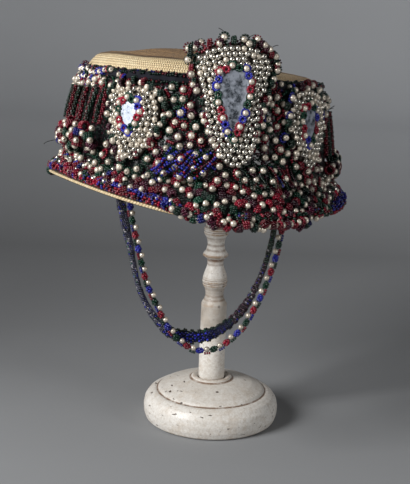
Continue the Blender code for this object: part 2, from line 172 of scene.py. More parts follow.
def new_group(name, inputs, outputs):
    """A shader node group with float or colour sockets: {name: default}. A tuple is a colour."""
    group = bpy.data.node_groups.new(name, "ShaderNodeTree")
    for kinds, direction in ((inputs, "INPUT"), (outputs, "OUTPUT")):
        for socket, value in kinds.items():
            kind = "NodeSocketColor" if isinstance(value, tuple) else "NodeSocketFloat"
            if socket == "Place":
                kind = "NodeSocketVector"
            made = group.interface.new_socket(name=socket, in_out=direction, socket_type=kind)
            if direction == "INPUT" and socket != "Place":
                made.default_value = (*value, 1.0) if isinstance(value, tuple) else value
    return group, group.nodes.new("NodeGroupInput"), group.nodes.new("NodeGroupOutput")


class Wires:
    """Adds nodes to a tree and joins them; a number or colour in an input is set on its socket."""

    def __init__(self, tree):
        self.tree = tree

    def add(self, kind, *inputs, **settings):
        node = self.tree.nodes.new(kind)
        for key, value in settings.items():
            setattr(node, key, value)
        for index, value in enumerate(inputs):
            if value is not None:
                self.put(node.inputs[index], value)
        return node

    def put(self, socket, value):
        if isinstance(value, bpy.types.NodeSocket):
            self.tree.links.new(value, socket)
        elif isinstance(value, tuple) and len(value) == 3 and socket.type == "RGBA":
            socket.default_value = (*value, 1.0)
        else:
            socket.default_value = value

    def math(self, operation, a, b=0.0, c=0.0, clamp=False):
        return self.add("ShaderNodeMath", a, b, c, operation=operation, use_clamp=clamp).outputs[0]

    def fit(self, value, low, high, new_low=0.0, new_high=1.0):
        return self.add("ShaderNodeMapRange", value, low, high, new_low, new_high).outputs[0]

    def mix(self, share, a, b):
        node = self.tree.nodes.new("ShaderNodeMix")
        node.data_type = "RGBA"
        self.put(node.inputs[0], share)
        self.put(node.inputs[6], a)
        self.put(node.inputs[7], b)
        return node.outputs[2]

    def noise(self, place, scale, detail=3.0, roughness=0.5):
        node = self.tree.nodes.new("ShaderNodeTexNoise")
        self.put(node.inputs["Vector"], place)
        self.put(node.inputs["Scale"], scale)
        node.inputs["Detail"].default_value = detail
        node.inputs["Roughness"].default_value = roughness
        return node.outputs["Fac"]

    def group(self, tree, **inputs):
        node = self.tree.nodes.new("ShaderNodeGroup")
        node.node_tree = tree
        for name, value in inputs.items():
            self.put(node.inputs[name.replace("_", " ")], value)
        return node


def new_material(name, roughness=0.5, metallic=0.0, **fixed):
    """A Principled material, with constant values on the shader's own sockets. Returns it, its
    shader, its wires and the place on the object."""
    made = bpy.data.materials.new(name)
    made.use_nodes = True
    shader = made.node_tree.nodes["Principled BSDF"]
    shader.inputs["Roughness"].default_value = roughness
    shader.inputs["Metallic"].default_value = metallic
    for socket, value in fixed.items():
        shader.inputs[socket.replace("_", " ")].default_value = value
    w = Wires(made.node_tree)
    return made, shader, w, w.add("ShaderNodeTexCoord").outputs["Object"]


def roughen(w, shader, height, strength, distance):
    """Bump from a height that varies over the surface; the distance is in metres."""
    bump = w.add("ShaderNodeBump")
    bump.inputs["Strength"].default_value = strength
    bump.inputs["Distance"].default_value = distance
    w.put(bump.inputs["Height"], height)
    w.put(shader.inputs["Normal"], bump.outputs[0])


# patches: broad uneven tone and fine speckle, used by paint, straw, thread and glass
patches, entry, leave = new_group("uneven_tone", {"Place": 0, "Broad": 30.0, "Fine": 400.0},
                                  {"Tone": 0.0, "Speck": 0.0})
w = Wires(patches)
for socket, scale, detail, low, high in (
        ("Tone", "Broad", 4.0, 0.3, 0.7), ("Speck", "Fine", 2.0, 0.35, 0.65)):
    cloud = w.noise(entry.outputs["Place"], entry.outputs[scale], detail, 0.6)
    w.put(leave.inputs[socket], w.fit(cloud, low, high))


def white_paint(name, pits, low, high, dirt_and_shadow_share, sharp):
    """Thick old white paint: brown dirt in the grooves, worn brown edges, stains and small pits.
    Between two heights in metres it turns grey brown by a share: dirt over the top of the foot,
    and on the stem painted shadow of the hat. Edges wear brown from a quarter of a sharpness up
    to the whole of it."""
    made, shader, w, place = new_material(name, roughness=0.42)
    tone = w.group(patches, Place=place, Broad=38.0, Fine=700.0)
    hollow = w.add("ShaderNodeAttribute", attribute_name="hollow").outputs["Fac"]
    blotch = w.noise(place, 150.0, 4.0, 0.7)
    groove = w.math("MULTIPLY", w.fit(hollow, 0.06, 0.30), w.fit(blotch, 0.22, 0.52))
    edge = w.math("MULTIPLY", w.fit(hollow, -0.25 * sharp, -sharp), w.fit(blotch, 0.36, 0.56))
    height = w.add("ShaderNodeSeparateXYZ", place).outputs["Z"]
    # a grey brown band between two heights: dirt on the foot, painted shadow of the hat on the stem
    band = w.math("MULTIPLY", w.fit(height, low - 0.004, low + 0.004),
                  w.fit(height, high + 0.010, high - 0.010))
    cloudy = w.fit(w.noise(place, 90.0, 4.0, 0.65), 0.25, 0.70, 0.35, 1.0)
    dirt_and_shadow = w.math("MULTIPLY", w.math("MULTIPLY", band, dirt_and_shadow_share), cloudy)
    stain = w.math("MULTIPLY", w.fit(w.noise(place, 75.0, 5.0, 0.8), 0.48, 0.66), 0.62)
    colour = w.mix(tone.outputs["Tone"], (0.64, 0.61, 0.56), (0.82, 0.80, 0.76))
    colour = w.mix(stain, colour, (0.50, 0.42, 0.33))
    colour = w.mix(dirt_and_shadow, colour, (0.24, 0.20, 0.16))
    mottle = w.math("MULTIPLY", w.fit(w.noise(place, 330.0, 4.0, 0.75), 0.50, 0.66), 0.55)
    colour = w.mix(mottle, colour, (0.45, 0.39, 0.32))
    colour = w.mix(w.math("MULTIPLY", tone.outputs["Speck"], 0.35), colour, (0.42, 0.36, 0.30))
    colour = w.mix(w.math("MULTIPLY", groove, 0.92), colour, (0.16, 0.09, 0.05))
    colour = w.mix(w.math("MULTIPLY", edge, 0.8), colour, (0.27, 0.16, 0.08))
    cells = w.tree.nodes.new("ShaderNodeTexVoronoi")
    cells.inputs["Scale"].default_value = 120.0
    w.put(cells.inputs["Vector"], place)
    rare = w.fit(w.noise(place, 60.0, 1.0), 0.52, 0.56)
    pit = w.math("MULTIPLY", w.fit(cells.outputs["Distance"], 0.17, 0.10), rare)
    stretched = w.add("ShaderNodeMapping", place)
    stretched.inputs["Scale"].default_value = (1.0, 1.0, 3.2)
    stretched.inputs["Rotation"].default_value = (0.5, 0.9, 0.3)
    scratch = w.fit(w.noise(stretched.outputs[0], 190.0, 2.0, 0.4), 0.700, 0.725)
    marks = w.math("MULTIPLY", w.math("MAXIMUM", pit, scratch), pits)
    colour = w.mix(marks, colour, (0.08, 0.055, 0.04))
    w.put(shader.inputs["Base Color"], colour)
    w.put(shader.inputs["Roughness"], w.fit(tone.outputs["Tone"], 0.0, 1.0, 0.60, 0.42))
    worn_away = w.math("ADD", marks, w.math("MULTIPLY", edge, 0.5))
    relief = w.math("SUBTRACT", w.math("MULTIPLY", w.noise(place, 320.0, 3.0, 0.6), 0.5), worn_away)
    roughen(w, shader, relief, 0.5, 0.0005)
    return made


base = turned_piece("turned_foot", BASE_OUTLINE, 96, 0.65, 0.4)
base.data.materials.append(white_paint("chipped_white_paint", 1.0, 0.022, 0.040, 0.22, 0.85))
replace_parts(base, "stand_base")


# Stand stem: a turned baluster glued into the foot, with a cylinder, rings, a vase, a
# thin flange and a round head that the crown rests on. The same paint, browner in grooves.
STEM_OUTLINE = [  # radius, height
    (0.0, 31.5), (9.6, 31.5), (9.8, 33.0), (9.6, 88.6), (9.6, 90.2), (8.9, 91.8), (7.5, 93.8),
    (6.7, 96.8), (6.8, 99.4), (7.4, 102.0), (8.3, 103.9), (9.2, 105.2), (9.3, 106.0), (8.6, 106.6),
    (9.4, 107.3), (9.5, 108.4), (8.8, 109.2), (9.2, 110.2), (8.3, 113.4), (6.9, 117.3), (5.9, 121.0),
    (6.0, 123.6), (6.5, 125.2), (8.4, 126.6), (9.5, 127.4), (9.6, 128.2), (8.6, 129.5), (7.0, 132.0),
    (6.2, 135.8), (6.6, 139.2), (7.2, 141.2), (8.5, 143.2), (9.3, 144.6), (9.3, 145.4), (8.6, 146.0),
    (9.2, 146.7), (9.1, 148.0), (8.2, 148.7), (8.0, 150.0), (8.0, 156.0), (8.6, 162.0), (8.6, 225.0),
    (9.4, 236.0), (13.5, 243.0), (15.6, 251.0), (14.8, 260.0), (10.6, 266.7), (5.2, 269.4), (0.0, 270.1)]
stem = turned_piece("turned_stem", STEM_OUTLINE, 44, 0.70, 1.7)
# the band from 71 to 106 mm high is painted shadow of the hat
stem.data.materials.append(white_paint("stem_white_paint", 0.6, 0.071, 0.106, 0.90, 0.42))
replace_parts(stem, "stand_stem")


# Straw: one long plait of split straw, sewn round and round from the middle of the top to
# the edge of the brim. Golden at the left front; honey brown on the top, partly the straw's
# own aged colour and partly painted shade, and on the right half painted shade.
TIP_BACK, TIP_ASIDE = np.radians([6.5, 2.5])
HAT_PLACE = SIDE * -17.6 + AWAY * -18.0 + UP * 185.0


def turn_about(axis, angle):
    """The rotation by angle about an axis: the axis's own part stays, the rest turns."""
    x, y, z = axis
    cross = np.array([[0, -z, y], [z, 0, -x], [-y, x, 0]])
    return np.eye(3) + np.sin(angle) * cross + (1 - np.cos(angle)) * cross @ cross


HAT_TURN = turn_about(AWAY, TIP_ASIDE) @ turn_about(SIDE, -TIP_BACK)


def on_hat(points):
    """Points from the hat's own axes, front at -y, to the stand's."""
    return np.asarray(points) @ HAT_TURN.T + HAT_PLACE


CROWN_HIGH = 76.9  # the edge of the top over the crown's foot
TOP_HALF_X, TOP_HALF_Y = 81.2, 95.0
PLAIT = 3.8  # width of one sewn row
AROUND = 240  # steps round the hat
UV_ROUND = 92.0  # a circle of this radius is as long as the crown is round
BRIM_ROWS, FOOT_ROWS, WALL_ROWS = 16, (1.6, 4.0, 8.0), 12
around = np.arange(AROUND) * 2 * np.pi / AROUND


def brim_height(a):
    """The brim's edge dips at the front and back and lifts at the sides."""
    return -6.4 + 1.46 * np.cos(a) - 1.09 * np.sin(a) - 8.03 * np.cos(2 * a) - 2.07 * np.sin(2 * a)


def brim_root(a):
    return 3.0 + 0.3 * (brim_height(a) + 6.4)


def wall(a, z, out=0.0):
    """Beside the crown's wall: an oval that narrows as it rises, at an angle from the front."""
    t = (z - 3.0) / (CROWN_HIGH - 3.0)
    half_x, half_y = 88.5 - 7.3 * t + out, 102.5 - 7.5 * t + out
    return np.stack(np.broadcast_arrays(half_x * np.sin(a), -half_y * np.cos(a), z), -1)


def crown_rise(a, rho):
    """The top's height over the crown's edge: a soft shoulder, then an uneven dome."""
    x, y = TOP_HALF_X * rho * np.sin(a), -TOP_HALF_Y * rho * np.cos(a)
    shoulder = 6.2 - 3.0 * np.sin(a) * rho
    climb = np.minimum(1.0, (1.0 - rho) / 0.13)
    dome = 8.4 * np.exp(-((x + 14.0) / 50.0) ** 2 - ((y - 8.0) / 62.0) ** 2)
    sag = 2.4 * (1.0 - rho) - np.exp(-((x + 52.0) / 12.0) ** 2)
    return shoulder * (climb * (2.0 - climb)) + (dome + sag) * np.minimum(1.0, (1.0 - rho) / 0.2)


def on_brim(a, t):
    """On the brim, from the crown's foot (0) to the edge (1)."""
    half_x, half_y = 90.6 + 12.7 * t, 104.6 + 13.2 * t
    z = brim_root(a) + (brim_height(a) - brim_root(a)) * t
    return np.stack(np.broadcast_arrays(half_x * np.sin(a), -half_y * np.cos(a), z), -1)


def straw_sheet(brim_rows, wall_rows, top_rows):
    """The sheet in rows: in along the brim, up the wall, and over the top to its middle."""
    t = np.linspace(1.0, 0.12, brim_rows)[:, None]
    z = np.linspace(13.0, CROWN_HIGH, wall_rows)[:, None]
    rho = 1.0 - np.linspace(0.0, 1.0, top_rows + 1)[1:-1, None]
    return np.concatenate([
        on_brim(around, t), wall(around, brim_root(around) + np.array(FOOT_ROWS)[:, None]),
        wall(around, z + 0 * around),
        np.stack(np.broadcast_arrays(TOP_HALF_X * rho * np.sin(around), -TOP_HALF_Y * rho * np.cos(around),
                                     CROWN_HIGH + crown_rise(around, rho)), -1)])


def sheet_skin(rows, offset):
    """The rows moved off the sheet along its normals: the normal is the way round crossed
    with the way along. The offset may differ from row to row."""
    normal = np.cross(np.roll(rows, -1, axis=1) - np.roll(rows, 1, axis=1), np.gradient(rows, axis=0))
    return rows + normal / np.linalg.norm(normal, axis=2, keepdims=True) * np.reshape(offset, (-1, 1, 1))


sheet = straw_sheet(BRIM_ROWS, WALL_ROWS, 75)
row_run = np.concatenate([[0.0], np.cumsum(np.linalg.norm(np.diff(sheet, axis=0), axis=2).mean(1))])
scallops = 0.26 * np.abs(np.sin(np.pi * row_run / PLAIT)) ** 0.6
outer_skin = sheet_skin(sheet, scallops - 0.15)
lining = straw_sheet(6, 5, 12)
inner_skin = sheet_skin(lining, -1.35)
outer_count, inner_count = outer_skin.shape[0] * AROUND, inner_skin.shape[0] * AROUND
k, k_next = np.arange(AROUND), (np.arange(AROUND) + 1) % AROUND
middle = outer_count + inner_count
straw_points = np.concatenate([outer_skin.reshape(-1, 3), inner_skin.reshape(-1, 3),
                               [outer_skin[-1].mean(0), inner_skin[-1].mean(0)]])
straw_faces = np.concatenate([
    grid_faces(outer_skin.shape[0], AROUND, round_columns=True),
    grid_faces(inner_skin.shape[0], AROUND, round_columns=True)[:, ::-1] + outer_count,
    np.stack([k_next, k, outer_count + k, outer_count + k_next], 1)])
straw_fans = np.concatenate([
    np.stack([outer_count - AROUND + k, outer_count - AROUND + k_next, np.full(AROUND, middle)], 1),
    np.stack([middle - AROUND + k_next, middle - AROUND + k, np.full(AROUND, middle + 1)], 1)])
lining_run = np.concatenate([[-1.9], np.cumsum(np.linalg.norm(np.diff(lining, axis=0), axis=2).mean(1))])
point_run = np.concatenate([np.repeat(row_run, AROUND), np.repeat(lining_run, AROUND), [row_run[-1]] * 2])
rows_in_all = outer_skin.shape[0] + inner_skin.shape[0]
point_round = np.concatenate([np.tile(around * UV_ROUND, rows_in_all), [0.0, 0.0]])
top_run = row_run[BRIM_ROWS + len(FOOT_ROWS) + WALL_ROWS - 1]  # where the top begins
golden_reach = 8.5 + 8.0 * np.clip(np.cos(point_round / UV_ROUND + 0.2), 0, 1) ** 2  # how far in it is golden
# 0 on the golden straw, 1 where the top is honey brown: partly aged straw, partly painted shade
age = np.clip((point_run - top_run - golden_reach) / 9.0, 0, 1)
quads = point_round[straw_faces]  # the last step round joins the end of the wrap to its start
seam = (quads.max(1) > 500)[:, None] & (quads < 100)
unrolled = np.where(seam, quads + 2 * np.pi * UV_ROUND, quads)
corner_round = np.concatenate([unrolled.ravel(), point_round[straw_fans].ravel()])
corner_run = point_run[np.concatenate([straw_faces.ravel(), straw_fans.ravel()])]
straw = new_piece("sewn_straw", on_hat(straw_points), [straw_faces, straw_fans],
                  uv=np.stack([corner_round, corner_run], 1) * 0.01, marks={"age": age})

# the plait: slanting splints that change direction from row to row, with dark seams
plait_group, entry, leave = new_group("straw_plait_rows", {"Place": 0, "Row": 0.019, "Splint": 0.019},
                                      {"Height": 0.0, "Seam": 0.0, "Splint Shade": 0.0})
w = Wires(plait_group)
parted = w.add("ShaderNodeSeparateXYZ", entry.outputs["Place"])
row_place = w.math("DIVIDE", parted.outputs["Y"], entry.outputs["Row"])
row_share = w.math("FRACT", row_place)
row_number = w.math("FLOOR", row_place)
flip = w.math("SUBTRACT", w.math("MULTIPLY", w.math("FLOORED_MODULO", row_number, 2.0), 2.0), 1.0)
slant = w.math("MULTIPLY", w.math("MULTIPLY", row_share, 0.30), flip)
shifted = w.math("ADD", slant, w.math("MULTIPLY", row_number, 0.08))
splint_place = w.math("DIVIDE", parted.outputs["X"], entry.outputs["Splint"])
splint = w.math("FRACT", w.math("ADD", splint_place, shifted))
hump = w.math("SINE", w.math("MULTIPLY", splint, 3.1416))
rise = w.math("SINE", w.math("MULTIPLY", row_share, 3.1416))
w.put(leave.inputs["Height"], w.math("MULTIPLY", w.math("POWER", hump, 0.6), w.math("POWER", rise, 0.5)))
w.put(leave.inputs["Seam"], w.fit(rise, 0.38, 0.10))
w.put(leave.inputs["Splint Shade"], w.fit(hump, 0.72, 0.20))

straw_look, shader, w, place = new_material("old_straw_plait", roughness=0.45, Specular_IOR_Level=0.4)
wrap = w.add("ShaderNodeUVMap", uv_map="wrap").outputs[0]
plait = w.group(plait_group, Place=wrap)
tone = w.group(patches, Place=place, Broad=45.0, Fine=900.0)
aged_and_shaded = w.add("ShaderNodeAttribute", attribute_name="age").outputs["Fac"]
side_place = w.add("ShaderNodeSeparateXYZ", place)
# brown: the honey brown top, part age and part painted shade, and painted shade over the hat's right half, x
# over 0
brown = w.math("MAXIMUM", w.math("MULTIPLY", aged_and_shaded, 0.85), w.fit(side_place.outputs["X"], 0.0, 0.06, 0.0, 0.9))
speckle = w.fit(w.noise(place, 620.0, 2.0, 0.6), 0.42, 0.58)
splint_contrast = w.fit(brown, 0.0, 1.0, 0.50, 0.95)
seam_contrast = w.fit(brown, 0.0, 1.0, 0.24, 0.95)
colour = w.mix(tone.outputs["Tone"], (0.92, 0.74, 0.44), (0.99, 0.86, 0.58))
colour = w.mix(w.math("MULTIPLY", speckle, 0.42), colour, (0.52, 0.32, 0.12))
dappled = w.fit(w.noise(place, 420.0, 2.0, 0.6), 0.40, 0.60)
aged_and_shaded_tone = w.mix(dappled, (0.64, 0.37, 0.175), (0.30, 0.155, 0.065))
colour = w.mix(brown, colour, aged_and_shaded_tone)
# a darker ring where golden turns brown: painted shade along the ridge of the shoulder
ridge_shade = w.math("MULTIPLY", w.fit(aged_and_shaded, 0.0, 0.35), w.fit(aged_and_shaded, 1.0, 0.9))
ridge_shade = w.math("MULTIPLY", ridge_shade, w.fit(w.noise(place, 30.0, 2.0), 0.35, 0.65, 0.55, 1.0))
colour = w.mix(ridge_shade, colour, (0.10, 0.06, 0.03))
colour = w.mix(w.math("MULTIPLY", tone.outputs["Speck"], 0.20), colour, (0.40, 0.25, 0.12))
shade = w.mix(brown, (0.34, 0.20, 0.08), (0.12, 0.065, 0.03))
colour = w.mix(w.math("MULTIPLY", plait.outputs["Splint Shade"], splint_contrast), colour, shade)
colour = w.mix(w.math("MULTIPLY", plait.outputs["Seam"], seam_contrast), colour, (0.12, 0.065, 0.03))
w.put(shader.inputs["Base Color"], colour)
w.put(shader.inputs["Roughness"], w.fit(tone.outputs["Speck"], 0.0, 1.0, 0.38, 0.56))
roughen(w, shader, plait.outputs["Height"], 0.9, 0.0009)
straw.data.materials.append(straw_look)
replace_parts(straw, "straw_hat")


# Crown beadwork, the ground: dark thread knotted round the crown's wall and covered with
# small dark green and wine beads. It shows between the larger beads, which are tied to it.
GROUND_ROWS = 18
ground_steps = np.linspace(0.0, 1.0, GROUND_ROWS)[:, None]
ground_z = brim_root(around) + 8.4 + (70.8 - brim_root(around) - 8.4) * ground_steps
knots = np.sin(61 * around + 9 * np.sin(0.9 * ground_z)) * np.sin(0.8 * ground_z + 3 * np.sin(23 * around))
ends = 1.2 * (np.abs(ground_steps - 0.5) > 0.49)
ground_out = wall(around, ground_z, 3.9 + 0.60 * knots - ends)
ground_in = wall(around, ground_z[::-1], 0.35)
ground_points = np.concatenate([ground_out, ground_in[[0, -1]]]).reshape(-1, 3)
ground = new_piece("thread_ground", on_hat(ground_points),
                   grid_faces(GROUND_ROWS + 2, AROUND, round_rows=True, round_columns=True))
packed_look, shader, w, place = new_material("dark_beads_on_thread", roughness=0.30, Specular_IOR_Level=0.5)
cells = w.tree.nodes.new("ShaderNodeTexVoronoi")
cells.inputs["Scale"].default_value = 520.0
w.put(cells.inputs["Vector"], place)
bead = w.fit(cells.outputs["Distance"], 0.20, 0.60, 1.0, 0.0)
picked = w.add("ShaderNodeSeparateColor", cells.outputs["Color"])
colour = w.mix(w.fit(picked.outputs[0], 0.50, 0.54), (0.004, 0.026, 0.014), (0.055, 0.005, 0.015))
colour = w.mix(w.fit(picked.outputs[1], 0.62, 0.66), colour, (0.006, 0.006, 0.008))
# near black round each cell: the dark thread, darkened further as painted shade between the small beads
w.put(shader.inputs["Base Color"], w.mix(bead, (0.002, 0.003, 0.003), colour))
roughen(w, shader, bead, 1.0, 0.0010)
ground.data.materials.append(packed_look)
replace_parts(ground, "crown_beadwork")


# Pearls and seed beads on the crown: most cream pearls sit in a small ring of seed beads, red,
# green, wine or blue, tied down so that the pearl stands up. Short strings fill the gaps.
CRIMSON, BOTTLE = (0.20, 0.004, 0.018), (0.003, 0.030, 0.016)
COBALT, WINE = (0.012, 0.015, 0.23), (0.06, 0.005, 0.020)
CREAM, SILVER = (0.74, 0.65, 0.53), (0.66, 0.62, 0.55)
SEED, PEARL = 0.95, 2.26
chance = np.random.default_rng(11)


def holed_bead(sides, profile):
    """A bead about its thread: profile points (radius, height along the thread) close on
    themselves through the hole, and go once round the thread."""
    line = np.array(profile)
    angle = np.arange(sides) * 2 * np.pi / sides
    points = np.stack([line[:, 0][:, None] * np.cos(angle), line[:, 0][:, None] * np.sin(angle),
                       line[:, 1][:, None] + 0 * angle], -1).reshape(-1, 3)
    return points, grid_faces(len(line), sides, round_rows=True, round_columns=True)


def seed_form(sides, half_length):
    """The smallest beads, whose hole is too fine to see: two rings of points about the
    thread, each closed by a flat end."""
    angle = np.arange(sides) * 2 * np.pi / sides
    ring = np.stack([np.cos(angle), np.sin(angle), 0 * angle], 1)
    points = np.concatenate([ring - [0, 0, half_length], ring + [0, 0, half_length]])
    i, j = np.arange(sides), (np.arange(sides) + 1) % sides
    k = np.arange(1, sides - 1)
    return points, np.concatenate([
        np.stack([i, j, sides + j], 1), np.stack([i, sides + j, sides + i], 1),
        np.stack([0 * k, k + 1, k], 1), np.stack([0 * k + sides, sides + k, sides + k + 1], 1)])


BEAD_PROFILE = [(0.24, -0.93), (0.66, -0.75), (0.97, -0.26), (0.97, 0.26), (0.66, 0.75), (0.24, 0.93)]
ROUND_BEAD = holed_bead(10, BEAD_PROFILE)
SEED_BEAD = seed_form(6, 0.62)


def strung(name, form, centres, threads, sizes, tints):
    """Copies of one bead: its points are turned so that its hole follows the thread, scaled
    by its size and moved to its centre. Each copy carries its own colour in 'tint'."""
    shape, faces = form
    centres, tints = np.asarray(centres, dtype=float), np.asarray(tints, dtype=float)
    line = np.asarray(threads, dtype=float)
    line = line / np.linalg.norm(line, axis=1, keepdims=True)
    helper = np.where(np.abs(line[:, 2:3]) < 0.8, [[0.0, 0.0, 1.0]], [[1.0, 0.0, 0.0]])
    side = np.cross(line, helper)
    side /= np.linalg.norm(side, axis=1, keepdims=True)
    other = np.cross(line, side)
    size = np.broadcast_to(np.asarray(sizes, dtype=float), (len(centres),))[:, None, None]
    turned = (shape[None, :, 0:1] * side[:, None] + shape[None, :, 1:2] * other[:, None]
              + shape[None, :, 2:3] * line[:, None])
    points = (centres[:, None] + turned * size).reshape(-1, 3)
    copies = np.arange(len(centres))[:, None, None] * len(shape)
    return new_piece(name, points, (faces[None] + copies).reshape(-1, faces.shape[1]),
                     marks={"tint": np.repeat(tints, len(shape), axis=0)})


oval = np.linspace(-np.pi, np.pi, 2000)
oval_run = np.concatenate([[0.0], np.cumsum(np.hypot(*np.diff(wall(oval, 40.0, 6.0)[:, :2], axis=0).T))])
oval_run -= np.interp(0.0, oval, oval_run)
HALF_ROUND = oval_run[-1]


def to_angle(run):
    """Millimetres round the wall from the front, to the angle from the front."""
    return np.interp((np.asarray(run) + HALF_ROUND) % (2 * HALF_ROUND) - HALF_ROUND, oval_run, oval)


def to_run(degrees):
    return np.interp(np.radians(degrees), oval, oval_run)


def wall_frame(run, z, out):
    """At a place on the wall: the point, the way round, the way up and the way out, on the hat's axes."""
    a = to_angle(run)
    point = wall(a, z, out)
    outward = np.stack([np.sin(a) * 95.0, -np.cos(a) * 84.0, np.full_like(a, 8.0)], -1)
    outward /= np.linalg.norm(outward, axis=-1, keepdims=True)
    side = np.stack([-outward[..., 1], outward[..., 0], np.zeros_like(a)], -1)
    side /= np.linalg.norm(side, axis=-1, keepdims=True)
    return point, side, np.cross(outward, side), outward


def inside(outline, run, z, grow=0.0):
    """True where (run, z) lies inside a closed outline, or within grow of its edge."""
    line = np.asarray(outline, dtype=float)
    p, q = line, np.roll(line, -1, axis=0)
    x, y = np.ravel(run)[:, None], np.ravel(z)[:, None]
    climb = np.where(q[:, 1] == p[:, 1], 1e-9, q[:, 1] - p[:, 1])
    crosses = ((p[:, 1] > y) != (q[:, 1] > y)) & (x < (q[:, 0] - p[:, 0]) * (y - p[:, 1]) / climb + p[:, 0])
    within = crosses.sum(1) % 2 == 1
    off = nearest_edge(line, np.stack([np.ravel(run), np.ravel(z)], 1))[1]
    return within | (off < grow) if grow > 0 else within & (off >= -grow)


def nearest_edge(outline, places):
    """For each place, the nearest point on the outline's sides, and how far off it is."""
    p = np.asarray(outline, dtype=float)
    d = np.roll(p, -1, axis=0) - p
    x = np.asarray(places, dtype=float)[:, None]
    t = np.clip(((x - p) * d).sum(2) / np.maximum((d * d).sum(1), 1e-9), 0, 1)
    feet = p + t[..., None] * d
    off = np.linalg.norm(x - feet, axis=2)
    best = off.argmin(1)
    return feet[np.arange(len(best)), best], off.min(1)


def rings(centres, side, up, reach, count, long=1.0):
    """Beads of threaded rings: count places round each centre, in the plane of side and up,
    stretched along side by long. Returns places and the thread's direction at each."""
    angle = np.arange(count) * 2 * np.pi / count
    c, s = np.cos(angle)[:, None], np.sin(angle)[:, None]
    reach, long = np.asarray(reach).reshape(-1, 1, 1), np.asarray(long).reshape(-1, 1, 1)
    places = centres[:, None] + reach * (long * c * side[:, None] + s * up[:, None])
    ways = -long * s * side[:, None] + c * up[:, None]
    return places.reshape(-1, 3), ways.reshape(-1, 3)


PLATE_OUTLINES = {  # angle round the crown, height
    "front": [(-21.5, 91.0), (-18.0, 96.5), (-11.0, 101.0), (-1.0, 103.5), (11.0, 103.0), (18.0, 98.5),
              (21.5, 91.0), (20.5, 81.0), (18.5, 69.0), (15.5, 56.0), (13.5, 43.0), (11.5, 33.0),
              (9.0, 25.0), (3.5, 19.5), (-1.5, 22.5), (-6.5, 31.0), (-11.5, 43.0), (-14.0, 56.0),
              (-16.5, 68.0), (-19.5, 80.0)],
    "left": [(-51.5, 60.5), (-47.5, 66.0), (-42.0, 68.0), (-35.5, 67.5), (-30.5, 63.5), (-28.0, 55.0),
             (-28.5, 43.0), (-31.5, 31.0), (-34.5, 23.5), (-38.0, 19.0), (-42.0, 22.5), (-46.5, 32.0),
             (-50.5, 45.0)],
    "right": [(26.5, 66.0), (30.5, 72.0), (37.0, 74.0), (44.5, 72.5), (50.5, 67.5), (51.5, 56.0),
              (50.5, 46.0), (47.5, 35.0), (43.5, 25.5), (39.0, 20.0), (34.0, 27.0), (29.5, 39.0),
              (26.5, 54.0)]}
PLATES = {name: np.array([(to_run(a), z) for a, z in line]) for name, line in PLATE_OUTLINES.items()}
LEFT_STRANDS = (to_run(-94.0), to_run(-54.0), 41.0, 63.0)  # from, to, lowest, highest
RIGHT_STRANDS = (to_run(55.0), to_run(95.0), 29.0, 58.0)


def clear_of_plates(run, z, grow):
    """True where a bead on the wall lies outside every plate and strand curtain, and not in the
    heap below a curtain."""
    clear = np.ones(len(run), dtype=bool)
    for line in PLATES.values():
        clear &= ~inside(line, run, z, grow)
    for low, high, bottom, top in (LEFT_STRANDS, RIGHT_STRANDS):
        clear &= ~((run > low - 1) & (run < high + 1) & (z > bottom - 15) & (z < top + 1))
    return clear


def seed_tints(count, shares):
    """Colours picked by share, each bead a little lighter or darker than the next."""
    colours = np.array([CRIMSON, BOTTLE, COBALT, WINE])
    picked = colours[chance.choice(4, size=count, p=shares)]
    return picked * chance.uniform(0.75, 1.30, (count, 1))


def keep(store, points, ways, sizes, tints):
    store.append((points, ways, np.broadcast_to(sizes, (len(points),)), tints))


def beaded(name, form, store, look):
    """One piece of all the beads in a store, moved from the hat's own axes to the stand's."""
    points, ways, sizes, tints = [np.concatenate([bit[i] for bit in store]) for i in range(4)]
    piece = strung(name, form, on_hat(points), ways @ HAT_TURN.T, sizes, tints)
    piece.data.materials.append(look)
    return piece


def keep_rings(store, centre, side, up, reach, count, tints, uneven=(0.7, 1.3), size=SEED, long=1.0):
    """Rings of count seed beads round each centre go into a store: each ring has its own tint,
    and each bead is a little lighter or darker than it."""
    places, ways = rings(centre, side, up, reach, count, long)
    bead_tints = np.repeat(tints, count, axis=0) * chance.uniform(*uneven, (len(places), 1))
    keep(store, places, ways, size, bead_tints)


def scattered(count, low, high, gap, taken=None):
    """Places thrown at random in a rectangle, kept where they stay their gap apart. The gap
    may be a function of the place. Returns the new places and all of them."""
    throws = chance.uniform(low, high, (count, 2))
    gaps = gap(throws) if callable(gap) else np.full(count, gap)
    kept = np.zeros((count + (0 if taken is None else len(taken)), 2)) + 1e6
    used = 0 if taken is None else len(taken)
    first = used
    kept[:used] = 0 if taken is None else taken
    for throw, room in zip(throws, gaps):
        if used == 0 or ((kept[:used] - throw) ** 2).sum(1).min() > room * room:
            kept[used] = throw
            used += 1
    return kept[first:used], kept[:used]


def ringed_pearls(pearls, seeds, point, side, up, outward, shares, looped, radius=(2.4, 2.9), dim=0.85):
    """A pearl at each point, and round most of them a loop of seed beads a little behind,
    tipped this way and that: the loop's places go round it in equal steps."""
    count = len(point)
    tilt = chance.uniform(0, 2 * np.pi, count)[:, None]
    ring_side, ring_up = side * np.cos(tilt) + up * np.sin(tilt), up * np.cos(tilt) - side * np.sin(tilt)
    threads = ring_side + chance.uniform(-0.3, 2.2, (count, 1)) * outward
    keep(pearls, point, threads, PEARL * chance.uniform(0.9, 1.06, count),
         np.array(CREAM) * chance.uniform(0.62, 1.12, (count, 1)))
    ring = chance.uniform(size=count) < looped
    lean = chance.normal(0, 0.28, (count, 1))
    centre = (point - outward * 1.3 + ring_side * chance.uniform(0.0, 1.3, (count, 1)))[ring]
    reach, long = chance.uniform(*radius, ring.sum()), chance.uniform(1.0, 1.2, ring.sum())
    keep_rings(seeds, centre, ring_side[ring], (ring_up + lean * outward)[ring], reach, 11,
               seed_tints(ring.sum(), shares) * dim, size=SEED * 0.9, long=long)


